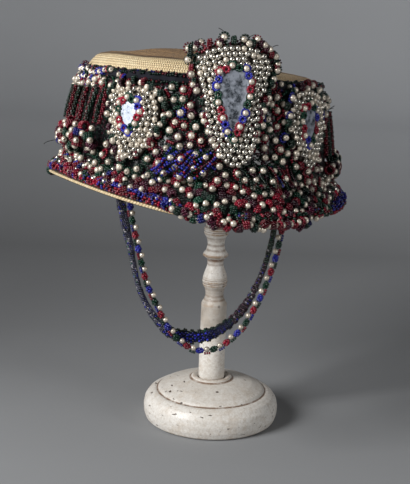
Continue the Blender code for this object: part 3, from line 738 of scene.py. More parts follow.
pearl_bits, seed_bits = [], []
LOW_WALL = 27.0
spots, _ = scattered(9000, (-HALF_ROUND, 11.5), (HALF_ROUND, 69.0),
                     lambda p: np.where(p[:, 1] < LOW_WALL, 5.9, 5.8))
run, z = spots[:, 0], spots[:, 1]
kept = clear_of_plates(run, z, 0.9)
run, z = run[kept], z[kept]
out = 5.8 + chance.uniform(-0.4, 1.2, len(run)) + np.clip((LOW_WALL - z) * 0.16, 0, 2.0)
point, side, up, outward = wall_frame(run, z, out)
ringed_pearls(pearl_bits, seed_bits, point, side, up, outward, (0.36, 0.44, 0.05, 0.15), 0.84)

# short strings of four beads, laid this way and that
strings, STRING_STEP = 640, 1.45
run, z = chance.uniform(-HALF_ROUND, HALF_ROUND, strings), chance.uniform(12.0, 70.0, strings)
tilt = chance.uniform(0, np.pi, strings)
run = (run[:, None] + np.cos(tilt)[:, None] * np.arange(4) * STRING_STEP).ravel()
z = (z[:, None] + np.sin(tilt)[:, None] * np.arange(4) * STRING_STEP).ravel()
kept = clear_of_plates(run, z, 0.3) & (z < 71.0)
point, side, up, _ = wall_frame(run, z, chance.uniform(4.3, 5.2, len(run)))
ways = side * np.cos(np.repeat(tilt, 4))[:, None] + up * np.sin(np.repeat(tilt, 4))[:, None]
tints = np.repeat(seed_tints(strings, (0.20, 0.64, 0.03, 0.13)), 4, axis=0)
keep(seed_bits, point[kept], ways[kept], SEED, tints[kept] * chance.uniform(0.7, 1.3, (kept.sum(), 1)))


def bead_glass(name, roughness, metallic, coat, **fixed):
    """Glazed beads: each bead's own tint, a little uneven, under a clear coat."""
    made, shader, w, place = new_material(name, roughness=roughness, metallic=metallic, Coat_Weight=coat,
                                          Coat_Roughness=0.08, **fixed)
    tint = w.add("ShaderNodeAttribute", attribute_name="tint").outputs["Color"]
    tone = w.group(patches, Place=place, Broad=220.0, Fine=1500.0)
    dull = w.add("ShaderNodeHueSaturation")
    dull.inputs["Saturation"].default_value = 0.9
    dull.inputs["Value"].default_value = 0.72
    w.put(dull.inputs["Color"], tint)
    half_tone = w.math("MULTIPLY", tone.outputs["Tone"], 0.5)
    w.put(shader.inputs["Base Color"], w.mix(half_tone, tint, dull.outputs[0]))
    w.put(shader.inputs["Roughness"], w.fit(tone.outputs["Speck"], 0.0, 1.0, roughness, roughness + 0.10))
    return made


pearl_look = bead_glass("cream_pearl_lustre", 0.20, 0.40, 0.8)
seed_look = bead_glass("seed_bead_glass", 0.13, 0.0, 0.15, Specular_IOR_Level=0.4)
beaded("crown_pearls", ROUND_BEAD, pearl_bits, pearl_look)
beaded("crown_seed_beads", SEED_BEAD, seed_bits, seed_look)


# Top band: a dark strip woven of black and blue-grey thread, sewn round the crown's edge.
# Rows of seed beads run along it, with pearls and small blue and red clumps at the sides and back.
strip_z = np.array([70.9, 72.3, 74.0, 75.6, CROWN_HIGH, 77.2, CROWN_HIGH, 70.9])[:, None]
strip_out = np.array([2.4, 3.0, 3.2, 3.0, 2.3, 1.2, 0.45, 0.45])[:, None]
ripple = 0.35 * np.sin(83 * around) * (strip_out > 2)
strip_points = wall(around, strip_z + 0.3 * np.sin(31 * around), strip_out + ripple)
strip_faces = grid_faces(8, AROUND, round_rows=True, round_columns=True)
strip_uv = np.stack([(strip_faces % AROUND) * (578.0 / AROUND), (strip_faces // AROUND) * 1.6], -1)
strip = new_piece("woven_strip", on_hat(strip_points.reshape(-1, 3)), strip_faces,
                  uv=strip_uv.reshape(-1, 2) * 0.01)
weave_look, shader, w, place = new_material("woven_thread", roughness=0.85, Specular_IOR_Level=0.2)
wrap = w.add("ShaderNodeUVMap", uv_map="wrap").outputs[0]
parted = w.add("ShaderNodeSeparateXYZ", wrap)
warp = w.math("SINE", w.math("MULTIPLY", w.math("ADD", parted.outputs["X"], parted.outputs["Y"]), 900.0))
weft = w.math("SINE", w.math("MULTIPLY", w.math("SUBTRACT", parted.outputs["X"], parted.outputs["Y"]), 900.0))
cloth = w.math("MULTIPLY", warp, weft)
tone = w.group(patches, Place=place, Broad=90.0, Fine=900.0)
colour = w.mix(tone.outputs["Tone"], (0.005, 0.006, 0.008), (0.022, 0.022, 0.032))
colour = w.mix(w.fit(cloth, 0.1, 0.9, 0.0, 0.5), colour, (0.030, 0.030, 0.040))
w.put(shader.inputs["Base Color"], colour)
roughen(w, shader, cloth, 0.6, 0.0004)
strip.data.materials.append(weave_look)
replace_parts(strip, "top_band")

band_pearls, band_seeds = [], []
for z, first, last, pitch in ((74.6, -98.0, -44.0, 7.6), (69.6, -100.0, -50.0, 8.2),
                              (65.4, -98.0, -60.0, 9.0), (73.0, 24.0, 60.0, 9.0), (72.0, 96.0, 255.0, 9.0)):
    run = np.arange(to_run(first), to_run(first) + (last - first) * 1.62, pitch)
    run = run + chance.normal(0, 0.9, len(run))
    point, side, up, outward = wall_frame(run, z + chance.normal(0, 0.8, len(run)), 4.2 + 0 * run)
    keep(band_pearls, point, side + 0.8 * outward, PEARL * 0.86,
         np.array(CREAM) * chance.uniform(0.85, 1.10, (len(run), 1)))
    blue = chance.uniform(size=len(run)) < 0.55
    centre = (point + side * pitch * 0.5 + up * chance.normal(0, 1.0, (len(run), 1)) - outward * 1.0)[blue]
    for shift in (-0.9, 0.9):
        clump = seed_tints(blue.sum(), (0.14, 0.12, 0.70, 0.04))
        keep_rings(band_seeds, centre + side[blue] * shift, up[blue], outward[blue], 1.9, 8, clump,
                   (0.8, 1.25))
for z, out, share in ((77.1, 2.7, (0.10, 0.64, 0.10, 0.16)), (75.6, 3.9, (0.10, 0.70, 0.04, 0.16)),
                      (71.4, 4.4, (0.16, 0.64, 0.06, 0.14))):
    run = np.arange(-HALF_ROUND, HALF_ROUND, 1.9)
    run = run[chance.uniform(size=len(run)) < 0.8]
    uneven_z, uneven_out = chance.normal(0, 0.35, len(run)), chance.normal(0, 0.2, len(run))
    point, side, up, _ = wall_frame(run, z + uneven_z, out + uneven_out)
    keep(band_seeds, point, side + up * chance.normal(0, 0.7, (len(run), 1)), SEED * 0.85,
         seed_tints(len(run), share) * 0.45)
beaded("band_pearls", ROUND_BEAD, band_pearls, pearl_look)
beaded("band_seed_beads", SEED_BEAD, band_seeds, seed_look)


# Bead plates: stiff dark card cut like a shield and sewn to the crown. Round silvered beads
# cover it side by side, in a row along its edge, round a piece of mirror in the middle.
MIRRORS = {  # angle round the crown, then the outline: across, height
    "front": (0.3, [(-9.0, 76.5), (-7.2, 81.0), (-1.6, 82.6), (6.4, 82.0), (10.0, 77.5), (9.4, 70.0),
                    (7.2, 59.0), (4.2, 47.5), (0.8, 37.0), (-2.8, 47.5), (-6.4, 59.0), (-8.8, 68.5)]),
    "left": (-41.5, [(-6.6, 52.0), (-2.8, 57.6), (4.8, 57.2), (8.0, 52.0), (5.6, 44.6), (1.4, 38.2),
                     (-3.4, 44.0)]),
    "right": (38.0, [(-7.4, 57.0), (-2.4, 62.6), (4.4, 62.0), (7.4, 55.0), (5.0, 45.0), (0.4, 37.6),
                     (-5.6, 46.0)])}


def closed_line(outline, pitch):
    """A closed outline walked in equal steps and slightly rounded."""
    line = np.asarray(outline, dtype=float)
    for _ in range(2):
        line = np.stack([0.75 * line + 0.25 * np.roll(line, -1, axis=0),
                         0.25 * line + 0.75 * np.roll(line, -1, axis=0)], 1).reshape(-1, 2)
    closed = np.concatenate([line, line[:1]])
    run = np.concatenate([[0.0], np.cumsum(np.hypot(*np.diff(closed, axis=0).T))])
    count = max(8, int(round(run[-1] / pitch)))
    at = np.arange(count) * run[-1] / count
    return np.stack([np.interp(at, run, closed[:, 0]), np.interp(at, run, closed[:, 1])], 1)


def packed(edge, hole, fixed, pitch):
    """Round beads side by side inside an outline and round a hole: a triangular grid of
    places, then each is pushed off any neighbour nearer than the pitch, those by the edge
    settle on a line just inside it, and those over the hole move out of it."""
    low, high = edge.min(0), edge.max(0)
    column, row = np.meshgrid(np.arange(low[0], high[0], pitch), np.arange(low[1], high[1], pitch * 0.866))
    column = column + 0.5 * pitch * (np.arange(column.shape[0])[:, None] % 2)
    places = np.stack([column.ravel(), row.ravel()], 1) + chance.normal(0, 0.1, (column.size, 2))
    on_card = inside(edge, places[:, 0], places[:, 1], -0.3)
    places = places[on_card & ~inside(hole, places[:, 0], places[:, 1], 1.4)]
    for _ in range(70):
        others = np.concatenate([places, fixed])
        gap = places[:, None] - others[None]
        far = np.linalg.norm(gap, axis=2)
        near = np.where((far > 1e-6) & (far < pitch), (pitch - far) / np.maximum(far, 0.2), 0.0)
        places = places + 0.32 * (gap * near[..., None]).sum(1)
        foot, off = nearest_edge(edge, places)
        within = inside(edge, places[:, 0], places[:, 1])
        inward = np.where(within[:, None], places - foot, foot - places) / np.maximum(off, 1e-6)[:, None]
        by_edge = (off < 0.72 * pitch) | ~within
        settled = foot + inward * 0.46 * pitch
        places = np.where(by_edge[:, None], 0.5 * places + 0.5 * settled, places)
        foot, off = nearest_edge(hole, places)
        over = inside(hole, places[:, 0], places[:, 1])
        outward = np.where(over[:, None], foot - places, places - foot) / np.maximum(off, 1e-6)[:, None]
        crowding = over | (off < 2.3)
        places = np.where(crowding[:, None], 0.5 * places + 0.5 * (foot + outward * 2.3), places)
    chosen = np.ones(len(places), dtype=bool)
    for index in range(len(places)):
        rivals = np.concatenate([places[:index][chosen[:index]], fixed])
        chosen[index] = np.hypot(*(rivals - places[index]).T).min() > 0.80 * pitch
    return places[chosen]


card_look, shader, w, place = new_material("dark_card", roughness=0.7)
tone = w.group(patches, Place=place, Broad=140.0, Fine=900.0)
w.put(shader.inputs["Base Color"], w.mix(tone.outputs["Tone"], (0.020, 0.015, 0.012), (0.075, 0.055, 0.038)))
roughen(w, shader, tone.outputs["Speck"], 0.5, 0.0005)

mirror_look, shader, w, place = new_material("old_mirror_glass", roughness=0.10, metallic=1.0)
rim_mark = w.add("ShaderNodeAttribute", attribute_name="rim").outputs["Fac"]
tone = w.group(patches, Place=place, Broad=170.0, Fine=1300.0)
worn = w.fit(w.math("ADD", w.noise(place, 230.0, 4.0, 0.7), w.math("MULTIPLY", rim_mark, 0.16)), 0.44, 0.66)
cloudy = w.math("ADD", worn, w.math("MULTIPLY", tone.outputs["Speck"], 0.25), clamp=True)
w.put(shader.inputs["Base Color"], w.mix(cloudy, (0.13, 0.15, 0.18), (0.40, 0.43, 0.49)))
w.put(shader.inputs["Roughness"], w.fit(cloudy, 0.0, 1.0, 0.22, 0.62))
w.put(shader.inputs["Metallic"], w.fit(w.noise(place, 140.0, 3.0, 0.6), 0.42, 0.56, 0.55, 1.0))

silver_look = bead_glass("silvered_bead", 0.14, 0.85, 0.25)

PEARL_PITCH = {"front": 8.6, "left": 8.0, "right": 8.4}  # of the pearls round each mirror
DRAWN_IN = {"front": (0.25, 0.16), "left": (0.04, 0.04), "right": (0.04, 0.04)}  # of the silver, at the top
CREAM_SHARE = {"front": 0.10, "left": 0.45, "right": 0.30}  # of the plate's beads that have lost their silver
SILVER_SIZE = {"front": 2.0, "left": 1.9, "right": 1.9}
CARD_STEPS = [  # share of the outline, how far out
    (0.02, 7.1), (0.5, 7.3), (0.9, 7.2), (1.0, 6.7), (1.0, 6.1), (0.9, 5.95), (0.5, 5.95), (0.02, 5.95)]
GLASS_STEPS = [  # share of the outline, how far over the beads
    (0.02, 1.05), (0.55, 1.05), (0.86, 1.0), (1.0, 0.75), (1.0, 0.05), (0.5, 0.05), (0.02, 0.05)]
GLASS_OUT = 9.45


def drawn_in(name, line):
    """The plate's line moved towards its middle by a share that grows with height."""
    edge = PLATES[name]
    climb = np.clip((line[:, 1:] - edge[:, 1].min()) / 40.0, 0, 1)
    return (edge.mean(0) - line) * np.array(DRAWN_IN[name]) * climb


plate_silver, plate_pearls, plate_seeds = [], [], []
for name, edge in PLATES.items():
    # the card: the outline shrunk in steps, front to back
    mid = edge.mean(0)
    line = closed_line(edge, 2.2)
    line = line + 0.75 * drawn_in(name, line)
    grid = np.stack([mid + (line - mid) * share for share, _ in CARD_STEPS])
    card = wall(to_angle(grid[..., 0]), grid[..., 1], np.array([[out] for _, out in CARD_STEPS]))
    middles = wall(to_angle(mid[[0, 0]]), mid[[1, 1]], np.array([7.1, 5.95]))
    plate_card = new_piece(name + "_card", on_hat(np.concatenate([card.reshape(-1, 3), middles])),
                           capped_faces(len(CARD_STEPS), len(line)))
    plate_card.data.materials.append(card_look)
    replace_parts(plate_card, name + "_plate")

    # the mirror: a flat piece of glass with a bevelled edge, laid on the beads
    angle_mid, shape = MIRRORS[name]
    shape = [(to_run(angle_mid) + x, z) for x, z in shape]
    glass_line = closed_line(shape, 1.0)
    glass_mid = glass_line.mean(0)
    base_point, base_side, base_up, base_out = wall_frame(glass_mid[:1], glass_mid[1:], GLASS_OUT)
    flat = np.stack([(glass_line - glass_mid) * share for share, _ in GLASS_STEPS])
    lift = np.array([rise for _, rise in GLASS_STEPS])[:, None, None]
    glass_points = base_point + flat[..., 0:1] * base_side + flat[..., 1:2] * base_up + lift * base_out
    middles = base_point + base_out * np.array([[1.05], [0.05]])
    rim = np.concatenate([np.repeat([share ** 3 for share, _ in GLASS_STEPS], len(glass_line)), [0.0, 0.0]])
    glass = new_piece(name + "_glass", on_hat(np.concatenate([glass_points.reshape(-1, 3), middles])),
                      capped_faces(len(GLASS_STEPS), len(glass_line)), marks={"rim": rim}, smooth=False)
    glass.data.materials.append(mirror_look)
    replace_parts(glass, name + "_mirror")

    # pearls in rings of seeds round the mirror, with smaller rings between them
    ring_line = closed_line(shape, PEARL_PITCH[name])
    away = ring_line - glass_mid
    around_glass = ring_line + away / np.linalg.norm(away, axis=1, keepdims=True) * 2.2
    point, side, _, _ = wall_frame(around_glass[:, 0], around_glass[:, 1], 10.8)
    keep(plate_pearls, point, side, PEARL * 0.92,
         np.array(CREAM) * chance.uniform(0.92, 1.12, (len(point), 1)))
    hues = np.array([COBALT, CRIMSON, BOTTLE])[(np.arange(len(point)) + 1) % 3] * 1.35
    between = 0.5 * (around_glass + np.roll(around_glass, -1, axis=0))
    inward = glass_mid - between
    between = between + inward / np.linalg.norm(inward, axis=1, keepdims=True) * 0.4
    for centres, reach, out, beads in ((around_glass, 2.6, 9.8, 13), (between, 1.8, 11.0, 8)):
        point, side, up, _ = wall_frame(centres[:, 0], centres[:, 1], out)
        keep_rings(plate_seeds, point, side, up, reach, beads, hues, (0.8, 1.3))

    # silvered beads side by side over the rest of the card, some worn to cream
    border = closed_line(edge, 1.5)
    size = SILVER_SIZE[name]
    silver = packed(border + drawn_in(name, border), glass_line, around_glass, size * 2.05)
    out = 9.0 + chance.normal(0, 0.16, len(silver))
    point, side, up, outward = wall_frame(silver[:, 0], silver[:, 1], out)
    threads = side * 0.5 + up * chance.uniform(-0.7, 0.7, (len(silver), 1)) + outward * 0.7
    creamy = chance.uniform(size=len(silver)) < CREAM_SHARE[name]
    for part_of, store, colour in ((~creamy, plate_silver, SILVER), (creamy, plate_pearls, CREAM)):
        keep(store, point[part_of], threads[part_of], size,
             np.array(colour) * chance.uniform(0.78, 1.12, (part_of.sum(), 1)))


# Fringes of the plates: pearls in loops of red and green seed beads, sewn along the edge of
# each card with small rings of seeds between them. At the front plate's top they stand free.
FRINGES = {  # pitch, lowest, how far out
    "front": (5.7, 26.0, -3.2), "left": (7.0, 20.0, 0.8), "right": (7.4, 20.0, 0.8)}
for name, (pitch, lowest, reach) in FRINGES.items():
    line = closed_line(PLATES[name], pitch)
    line = line[(line[:, 1] > lowest) & (chance.uniform(size=len(line)) < 0.90)]
    line = line + chance.normal(0, 1.0, line.shape)
    middle = PLATES[name].mean(0)
    away = (line - middle) / np.linalg.norm(line - middle, axis=1, keepdims=True)
    free = np.clip((line[:, 1:] - 76.0) / 10.0, 0, 1) if name == "front" else 0.0
    line = line + away * (reach + free * chance.uniform(-0.5, 2.4, (len(line), 1)))
    point, side, up, outward = wall_frame(line[:, 0], line[:, 1], 8.4 + chance.normal(0, 0.8, len(line)))
    ringed_pearls(plate_pearls, plate_seeds, point, side, up, outward, (0.34, 0.42, 0.04, 0.20), 1.0,
                  (2.4, 2.8), 0.55)
    further = reach + 1.4 + free * chance.uniform(-0.5, 2.2, (len(line), 1))
    line = 0.5 * (line + np.roll(line, -1, axis=0)) + away * further
    point, side, up, outward = wall_frame(line[:, 0], line[:, 1], 7.6 + chance.normal(0, 0.7, len(line)))
    tints = seed_tints(len(line), (0.30, 0.48, 0.0, 0.22)) * 0.5
    for shift, radius in ((-1.2, 1.7), (0.2, 2.1)):
        keep_rings(plate_seeds, point + side * shift, up, outward, radius, 10, tints, (0.7, 1.4))
    if name == "front":
        line = line - away * (3.0 + chance.uniform(-0.5, 0.7, (len(line), 1)))
        point, side, up, _ = wall_frame(line[:, 0], line[:, 1], 7.6 + 0 * line[:, 0])
        tints = seed_tints(len(line), (0.30, 0.56, 0.02, 0.12)) * 0.6
        keep_rings(plate_seeds, point, side, up, 2.5, 11, tints, (0.7, 1.4), long=1.3)
beaded("plate_silver_beads", ROUND_BEAD, plate_silver, silver_look)
beaded("plate_pearls", ROUND_BEAD, plate_pearls, pearl_look)
beaded("plate_seed_beads", SEED_BEAD, plate_seeds, seed_look)


# Hanging strands: seed beads threaded in cords, by turns dark red and dark green, that hang
# close together from the band at the hat's sides.
STRAND_PITCH, BEAD_STEP = 4.3, 1.55


def curtain(name, limits, lean):
    """Each strand is three rows of seeds wound round each other, which hang in equal steps and
    stand out further as they fall; every second strand is dark red. They lean along the wall."""
    low, high, bottom, top = limits
    at = np.arange(low + 1.5, high - 1.2, STRAND_PITCH)
    drop = np.arange(0.0, top - bottom, BEAD_STEP)
    strand, fall, ply = np.meshgrid(np.arange(len(at)), drop, np.arange(3), indexing="ij")
    wind = fall * 0.75 + ply * 2 * np.pi / 3 + 1.7 * strand
    sway = 1.5 * np.sin(0.16 * fall + 2.3 * strand) * np.sin(1.3 * strand)
    run = at[strand] + lean * (fall - 8.0) + 0.85 * np.cos(wind) + sway
    z = top - fall + 0.7 * np.sin(3.1 * strand)
    share = fall / (top - bottom)
    out = 6.6 + 1.8 * np.sin(0.5 * np.pi * share) + 0.85 * np.sin(wind) + 1.3 * np.sin(2.1 * strand)
    point, side, up, _ = wall_frame(run.ravel(), z.ravel(), out.ravel())
    hue = np.where((strand.ravel() % 2 == 0)[:, None], np.array(CRIMSON) * 0.45, np.array(BOTTLE) * 0.6)
    tint = hue * chance.uniform(0.2, 1.8, (len(point), 1))
    # a few pale grey beads: painted glints
    painted_light = chance.uniform(size=(len(point), 1)) < 0.025
    tint = np.where(painted_light, np.array((0.24, 0.22, 0.21)), tint)
    beads = strung(name, SEED_BEAD, on_hat(point), (up + 0.3 * side) @ HAT_TURN.T, SEED * 0.92, tint)
    beads.data.materials.append(seed_look)
    return beads


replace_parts(curtain("left_hanging_strands", LEFT_STRANDS, -0.10), "left_strands")
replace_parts(curtain("right_hanging_strands", RIGHT_STRANDS, 0.0), "right_strands")


# Rosettes: under each curtain a heap of pearls and standing loops of red and blue seed
# beads, tied in one bunch. They stand out furthest from the hat's sides.
GOLDEN_TURN = 2.39996  # radians, which spreads places evenly over a disc


def bunch(name, first, last, low, high, dome, pearls, loops, shares):
    """Places are spread over a dome on the wall; a loop is a ring of seed beads stood on edge."""
    mid, half_wide = (to_run(first) + to_run(last)) / 2, (to_run(last) - to_run(first)) / 2
    mid_z, half_high = (low + high) / 2, (high - low) / 2
    store_pearls, store_seeds = [], []
    angle = np.arange(pearls) * GOLDEN_TURN
    reach = np.sqrt((np.arange(pearls) + 0.5) / pearls)
    run, z = mid + half_wide * 1.05 * reach * np.cos(angle), mid_z + half_high * 1.1 * reach * np.sin(angle)
    out = 8.0 + dome * (1 - reach ** 2) ** 0.5 + chance.uniform(-1, 1, pearls)
    point, side, _, _ = wall_frame(run, z, out)
    keep(store_pearls, point, side, PEARL, np.array(CREAM) * chance.uniform(0.86, 1.05, (pearls, 1)))
    angle = np.arange(loops) * GOLDEN_TURN + 1.2
    reach = np.sqrt((np.arange(loops) + 0.5) / loops)
    run, z = mid + half_wide * reach * np.cos(angle), mid_z + half_high * reach * np.sin(angle)
    point, side, up, outward = wall_frame(run, z, 7.4 + (dome - 1.1) * (1 - reach ** 2) ** 0.5)
    tilt = chance.uniform(0, np.pi, (loops, 1))
    along, across = side * np.cos(tilt) + up * np.sin(tilt), side * np.sin(tilt) - up * np.cos(tilt)
    colours = seed_tints(loops, shares) * chance.uniform(0.4, 1.0, (loops, 1))
    for shift in (0.0, 1.5, -1.5):
        keep_rings(store_seeds, point + shift * across, along, outward, 3.0, 13, colours, (0.75, 1.25))
    seeds = beaded(name + "_seed_beads", SEED_BEAD, store_seeds, seed_look)
    beaded(name + "_pearls", ROUND_BEAD, store_pearls, pearl_look)
    return seeds


left_loops = bunch("left_bunch", -88.0, -54.0, 22.0, 40.0, 9.5, 19, 18, (0.44, 0.20, 0.14, 0.22))
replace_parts(left_loops, "left_rosette")
right_loops = bunch("right_bunch", 60.0, 93.0, 13.0, 31.0, 6.0, 22, 16, (0.58, 0.20, 0.04, 0.18))
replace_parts(right_loops, "right_rosette")


# Swags: between the plates, low on the wall, seed beads on slanting threads: mostly bright
# blue to the left of the front plate, and dark green, red and wine to its right.
swag_seeds = []
for first, last, low, high, strands, slant, bright, shares in (
        (-26.0, -8.0, 13.0, 29.0, 12, -0.9, 1.25, (0.14, 0.08, 0.70, 0.08)),
        (4.0, 30.0, 8.5, 22.0, 16, 0.5, 0.55, (0.20, 0.56, 0.02, 0.22))):
    at = np.linspace(to_run(first), to_run(last), strands)
    drop = np.arange(0.0, 1.0, 0.078)
    run, t = np.meshgrid(at, drop, indexing="ij")
    z = high + (low - high) * t + 1.2 * np.sin(5 * t + at[:, None])
    run = run + slant * (high - low) * (t - 0.5) + 1.4 * np.sin(4 * t + 2 * at[:, None])
    point, side, up, _ = wall_frame(run, z, 6.3 + 4.2 * t + chance.uniform(-0.8, 1.0, (strands, 1)))
    count = strands * len(drop)
    kept = clear_of_plates(run.ravel(), z.ravel(), 0.6)
    ways = (up - side * slant).reshape(-1, 3) + chance.normal(0, 0.2, (count, 3))
    strand_colour = np.repeat(seed_tints(strands, shares), len(drop), axis=0)
    odd = chance.uniform(size=(count, 1)) < 0.24
    tint = np.where(odd, seed_tints(count, (0.4, 0.3, 0.0, 0.3)), strand_colour)
    tint = tint * chance.uniform(0.25, 1.4, (count, 1)) * bright
    keep(swag_seeds, point.reshape(-1, 3)[kept], ways[kept], SEED * 0.9, tint[kept])
beaded("swag_seed_beads", SEED_BEAD, swag_seeds, seed_look)


# Brim: a bed of dark thread with beads heaped on it: pearls, silvered beads, and rings of
# red, green and blue seed beads, so close that the straw shows only at the edge.
bed_t = np.array([0.09, 0.2, 0.35, 0.5, 0.65, 0.8, 0.92, 0.92, 0.5, 0.09])[:, None]
bed_rise = np.array([7.2, 7.0, 6.2, 5.4, 4.4, 3.2, 1.8, 0.5, 0.5, 0.5])[:, None]
bed_lumps = (bed_rise > 1) * 0.7 * np.sin(47 * around + 6 * bed_t) * np.sin(31 * around - 9 * bed_t)
bed = on_brim(around, bed_t + 0 * around)
bed[..., 2] += bed_rise + bed_lumps
brim_bed = new_piece("brim_thread_bed", on_hat(bed.reshape(-1, 3)),
                     grid_faces(len(bed_t), AROUND, round_rows=True, round_columns=True)[:, ::-1])
brim_bed.data.materials.append(packed_look)
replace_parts(brim_bed, "brim_beadwork")


def brim_frame(a, t, rise):
    """A place over the brim, with the way round, the way outwards and the way up there."""
    point = on_brim(a, t)
    point[..., 2] += rise
    outward = np.stack([np.sin(a) * 110.0, -np.cos(a) * 96.0, 0 * a], -1)
    outward /= np.linalg.norm(outward, axis=-1, keepdims=True)
    slope = (brim_height(a) - brim_root(a)) / 13.0
    outward[..., 2] = slope
    outward /= np.linalg.norm(outward, axis=-1, keepdims=True)
    side = np.stack([-outward[..., 1], outward[..., 0], 0 * a], -1)
    side /= np.linalg.norm(side, axis=-1, keepdims=True)
    return point, side, outward, np.cross(outward, side)


def heap_height(t):
    """How high the beads stand over the brim: high by the crown, low at the edge."""
    return 8.6 - 5.8 * np.clip(t, 0, 1.3) ** 1.8 - 6.0 * np.clip(t - 0.98, 0, 0.3)


def bare_edge(a):
    """1 where the straw's edge shows below the beads, at the left front, and 0 elsewhere."""
    return np.interp(np.degrees(a), [-108.0, -92.0, -26.0, -12.0], [0.0, 1.0, 1.0, 0.0])


def overhang(a):
    """1 where the heap spills over the brim's edge, from the front to the right."""
    return np.interp(np.degrees(a), [-16.0, 6.0, 40.0, 52.0], [0.0, 1.0, 1.0, 0.0])


def neat_edge(a):
    """1 where the heap stops short of the brim's edge and the edging shows, at the right."""
    return np.interp(np.degrees(a), [42.0, 54.0, 112.0, 140.0], [0.0, 1.0, 1.0, 0.0])


BRIM_ROUND, BRIM_WIDE = 107.0, 17.0  # flat sizes of the heap, which the gaps are measured in
low, high = (-np.pi * BRIM_ROUND, -0.02 * BRIM_WIDE), (np.pi * BRIM_ROUND, 1.10 * BRIM_WIDE)
brim_pearls, brim_silver, brim_seeds = [], [], []
spots, taken = scattered(5000, low, high, lambda p: 5.3 + 1.3 * bare_edge(p[:, 0] / BRIM_ROUND))
a, t = spots[:, 0] / BRIM_ROUND, spots[:, 1] / BRIM_WIDE
t = t - (0.24 * bare_edge(a) + 0.30 * neat_edge(a) - 0.07 * overhang(a)) * t
point, side, _, _ = brim_frame(a, t, heap_height(t) + chance.uniform(-0.9, 1.7, len(a)))
silvered = (((a < -0.80) & (a > -1.9)) | ((a > 0.95) & (a < 2.0))) & (chance.uniform(size=len(a)) < 0.7)
for part_of, store, colour in ((~silvered, brim_pearls, CREAM), (silvered, brim_silver, SILVER)):
    count = part_of.sum()
    threads = side[part_of] + chance.normal(0, 0.5, (count, 3))
    keep(store, point[part_of], threads, PEARL * chance.uniform(0.88, 1.06, count),
         np.array(colour) * chance.uniform(0.66, 1.15, (count, 1)))
spots, _ = scattered(9000, low, high, lambda p: 3.6 - 0.25 * overhang(p[:, 0] / BRIM_ROUND), taken)
a, t = spots[:, 0] / BRIM_ROUND, spots[:, 1] / BRIM_WIDE
t = t - (0.20 * bare_edge(a) + 0.30 * neat_edge(a) - 0.07 * overhang(a)) * t
rise = heap_height(t) - 1.5 + 0.8 * np.clip(t, 0, 1) + chance.uniform(-0.6, 1.0, len(a))
point, side, outward, over = brim_frame(a, t, rise)
tilt = chance.uniform(0, np.pi, (len(a), 1))
round_way = side * np.cos(tilt) + outward * np.sin(tilt)
cross_way = side * np.sin(tilt) - outward * np.cos(tilt)
colours = seed_tints(len(a), (0.40, 0.26, 0.03, 0.31)) * chance.uniform(0.2, 1.4, (len(a), 1))
left_colours = seed_tints(len(a), (0.32, 0.20, 0.10, 0.38)) * chance.uniform(0.2, 1.2, (len(a), 1))
colours = np.where((bare_edge(a) > 0.5)[:, None], left_colours, colours)
for shift, reach, beads in ((-1.45, 2.0, 9), (0.0, 2.3, 10), (1.45, 2.0, 9)):
    keep_rings(brim_seeds, point + shift * cross_way, round_way, over, reach, beads, colours)

# a row over the edge itself: every second one a pearl, the others stood rings of seeds
EDGE_BEADS = 34
along = np.radians(-20.0) + np.cumsum(chance.uniform(2.2, 3.6, EDGE_BEADS)) / BRIM_ROUND
point, side, outward, over = brim_frame(along, np.ones(EDGE_BEADS), 0.0)
drop = chance.uniform(-2.0, 2.8, (EDGE_BEADS, 1)) + 2.4 * np.clip((0.10 - along) / 0.35, 0, 1)[:, None]
point = point + outward * (2.6 - 0.25 * drop) + over * (0.6 + drop)
half = EDGE_BEADS // 2
keep(brim_pearls, point[::2], side[::2], PEARL * 0.98,
     np.array(CREAM) * chance.uniform(0.75, 1.05, (half, 1)))
point, side, outward, over = point[1::2], side[1::2], outward[1::2], over[1::2]
tilt = chance.uniform(0, np.pi, (half, 1))
round_way, cross_way = side * np.cos(tilt) + over * np.sin(tilt), side * np.sin(tilt) - over * np.cos(tilt)
colours = seed_tints(half, (0.40, 0.24, 0.16, 0.20)) * chance.uniform(0.3, 1.1, (half, 1))
for shift, reach, beads in ((-1.45, 1.9, 8), (0.0, 2.2, 9), (1.45, 1.9, 8)):
    keep_rings(brim_seeds, point + shift * cross_way, round_way, outward, reach, beads, colours)
beaded("brim_pearls", ROUND_BEAD, brim_pearls, pearl_look)
beaded("brim_silver_beads", ROUND_BEAD, brim_silver, silver_look)
seed_rows = [np.concatenate([bit[i] for bit in brim_seeds]) for i in range(4)]
half = len(seed_rows[0]) // 2  # two pieces, so that neither grows too large
beaded("brim_seed_beads_inner", SEED_BEAD, [[row[:half] for row in seed_rows]], seed_look)
beaded("brim_seed_beads_outer", SEED_BEAD, [[row[half:] for row in seed_rows]], seed_look)


# Brim edging: short loops of seed beads sewn side by side over the edge, most of them red
# outside and blue inside, with dark beads between. At the left front the straw shows below.
LOOPS = 330
edge_out = np.array([1.9, 2.7, 2.6, 1.6, 0.2, -1.2, -2.6, -3.6])
edge_rise = np.array([-0.9, 0.2, 1.6, 2.7, 3.2, 3.3, 2.9, 2.2])
a, k = np.meshgrid(np.arange(LOOPS) * 2 * np.pi / LOOPS - np.pi, np.arange(len(edge_out)), indexing="ij")
wobble = chance.normal(0, 0.42, a.shape)
at_sides = np.interp(np.degrees(a), [-150.0, -128.0, -104.0, -92.0, 62.0, 84.0, 120.0, 145.0],
                     [0.0, 2.4, 2.4, 0.0, 0.0, 2.0, 2.0, 0.0])
drawn_back = 4.2 * bare_edge(a) + 0.6 + 1.6 * overhang(a) - 0.9 * neat_edge(a) + at_sides
stand = 0.7 * (np.arange(LOOPS) % 3 == 0)[:, None] + 0.5 * np.sin(0.9 * np.arange(LOOPS))[:, None]
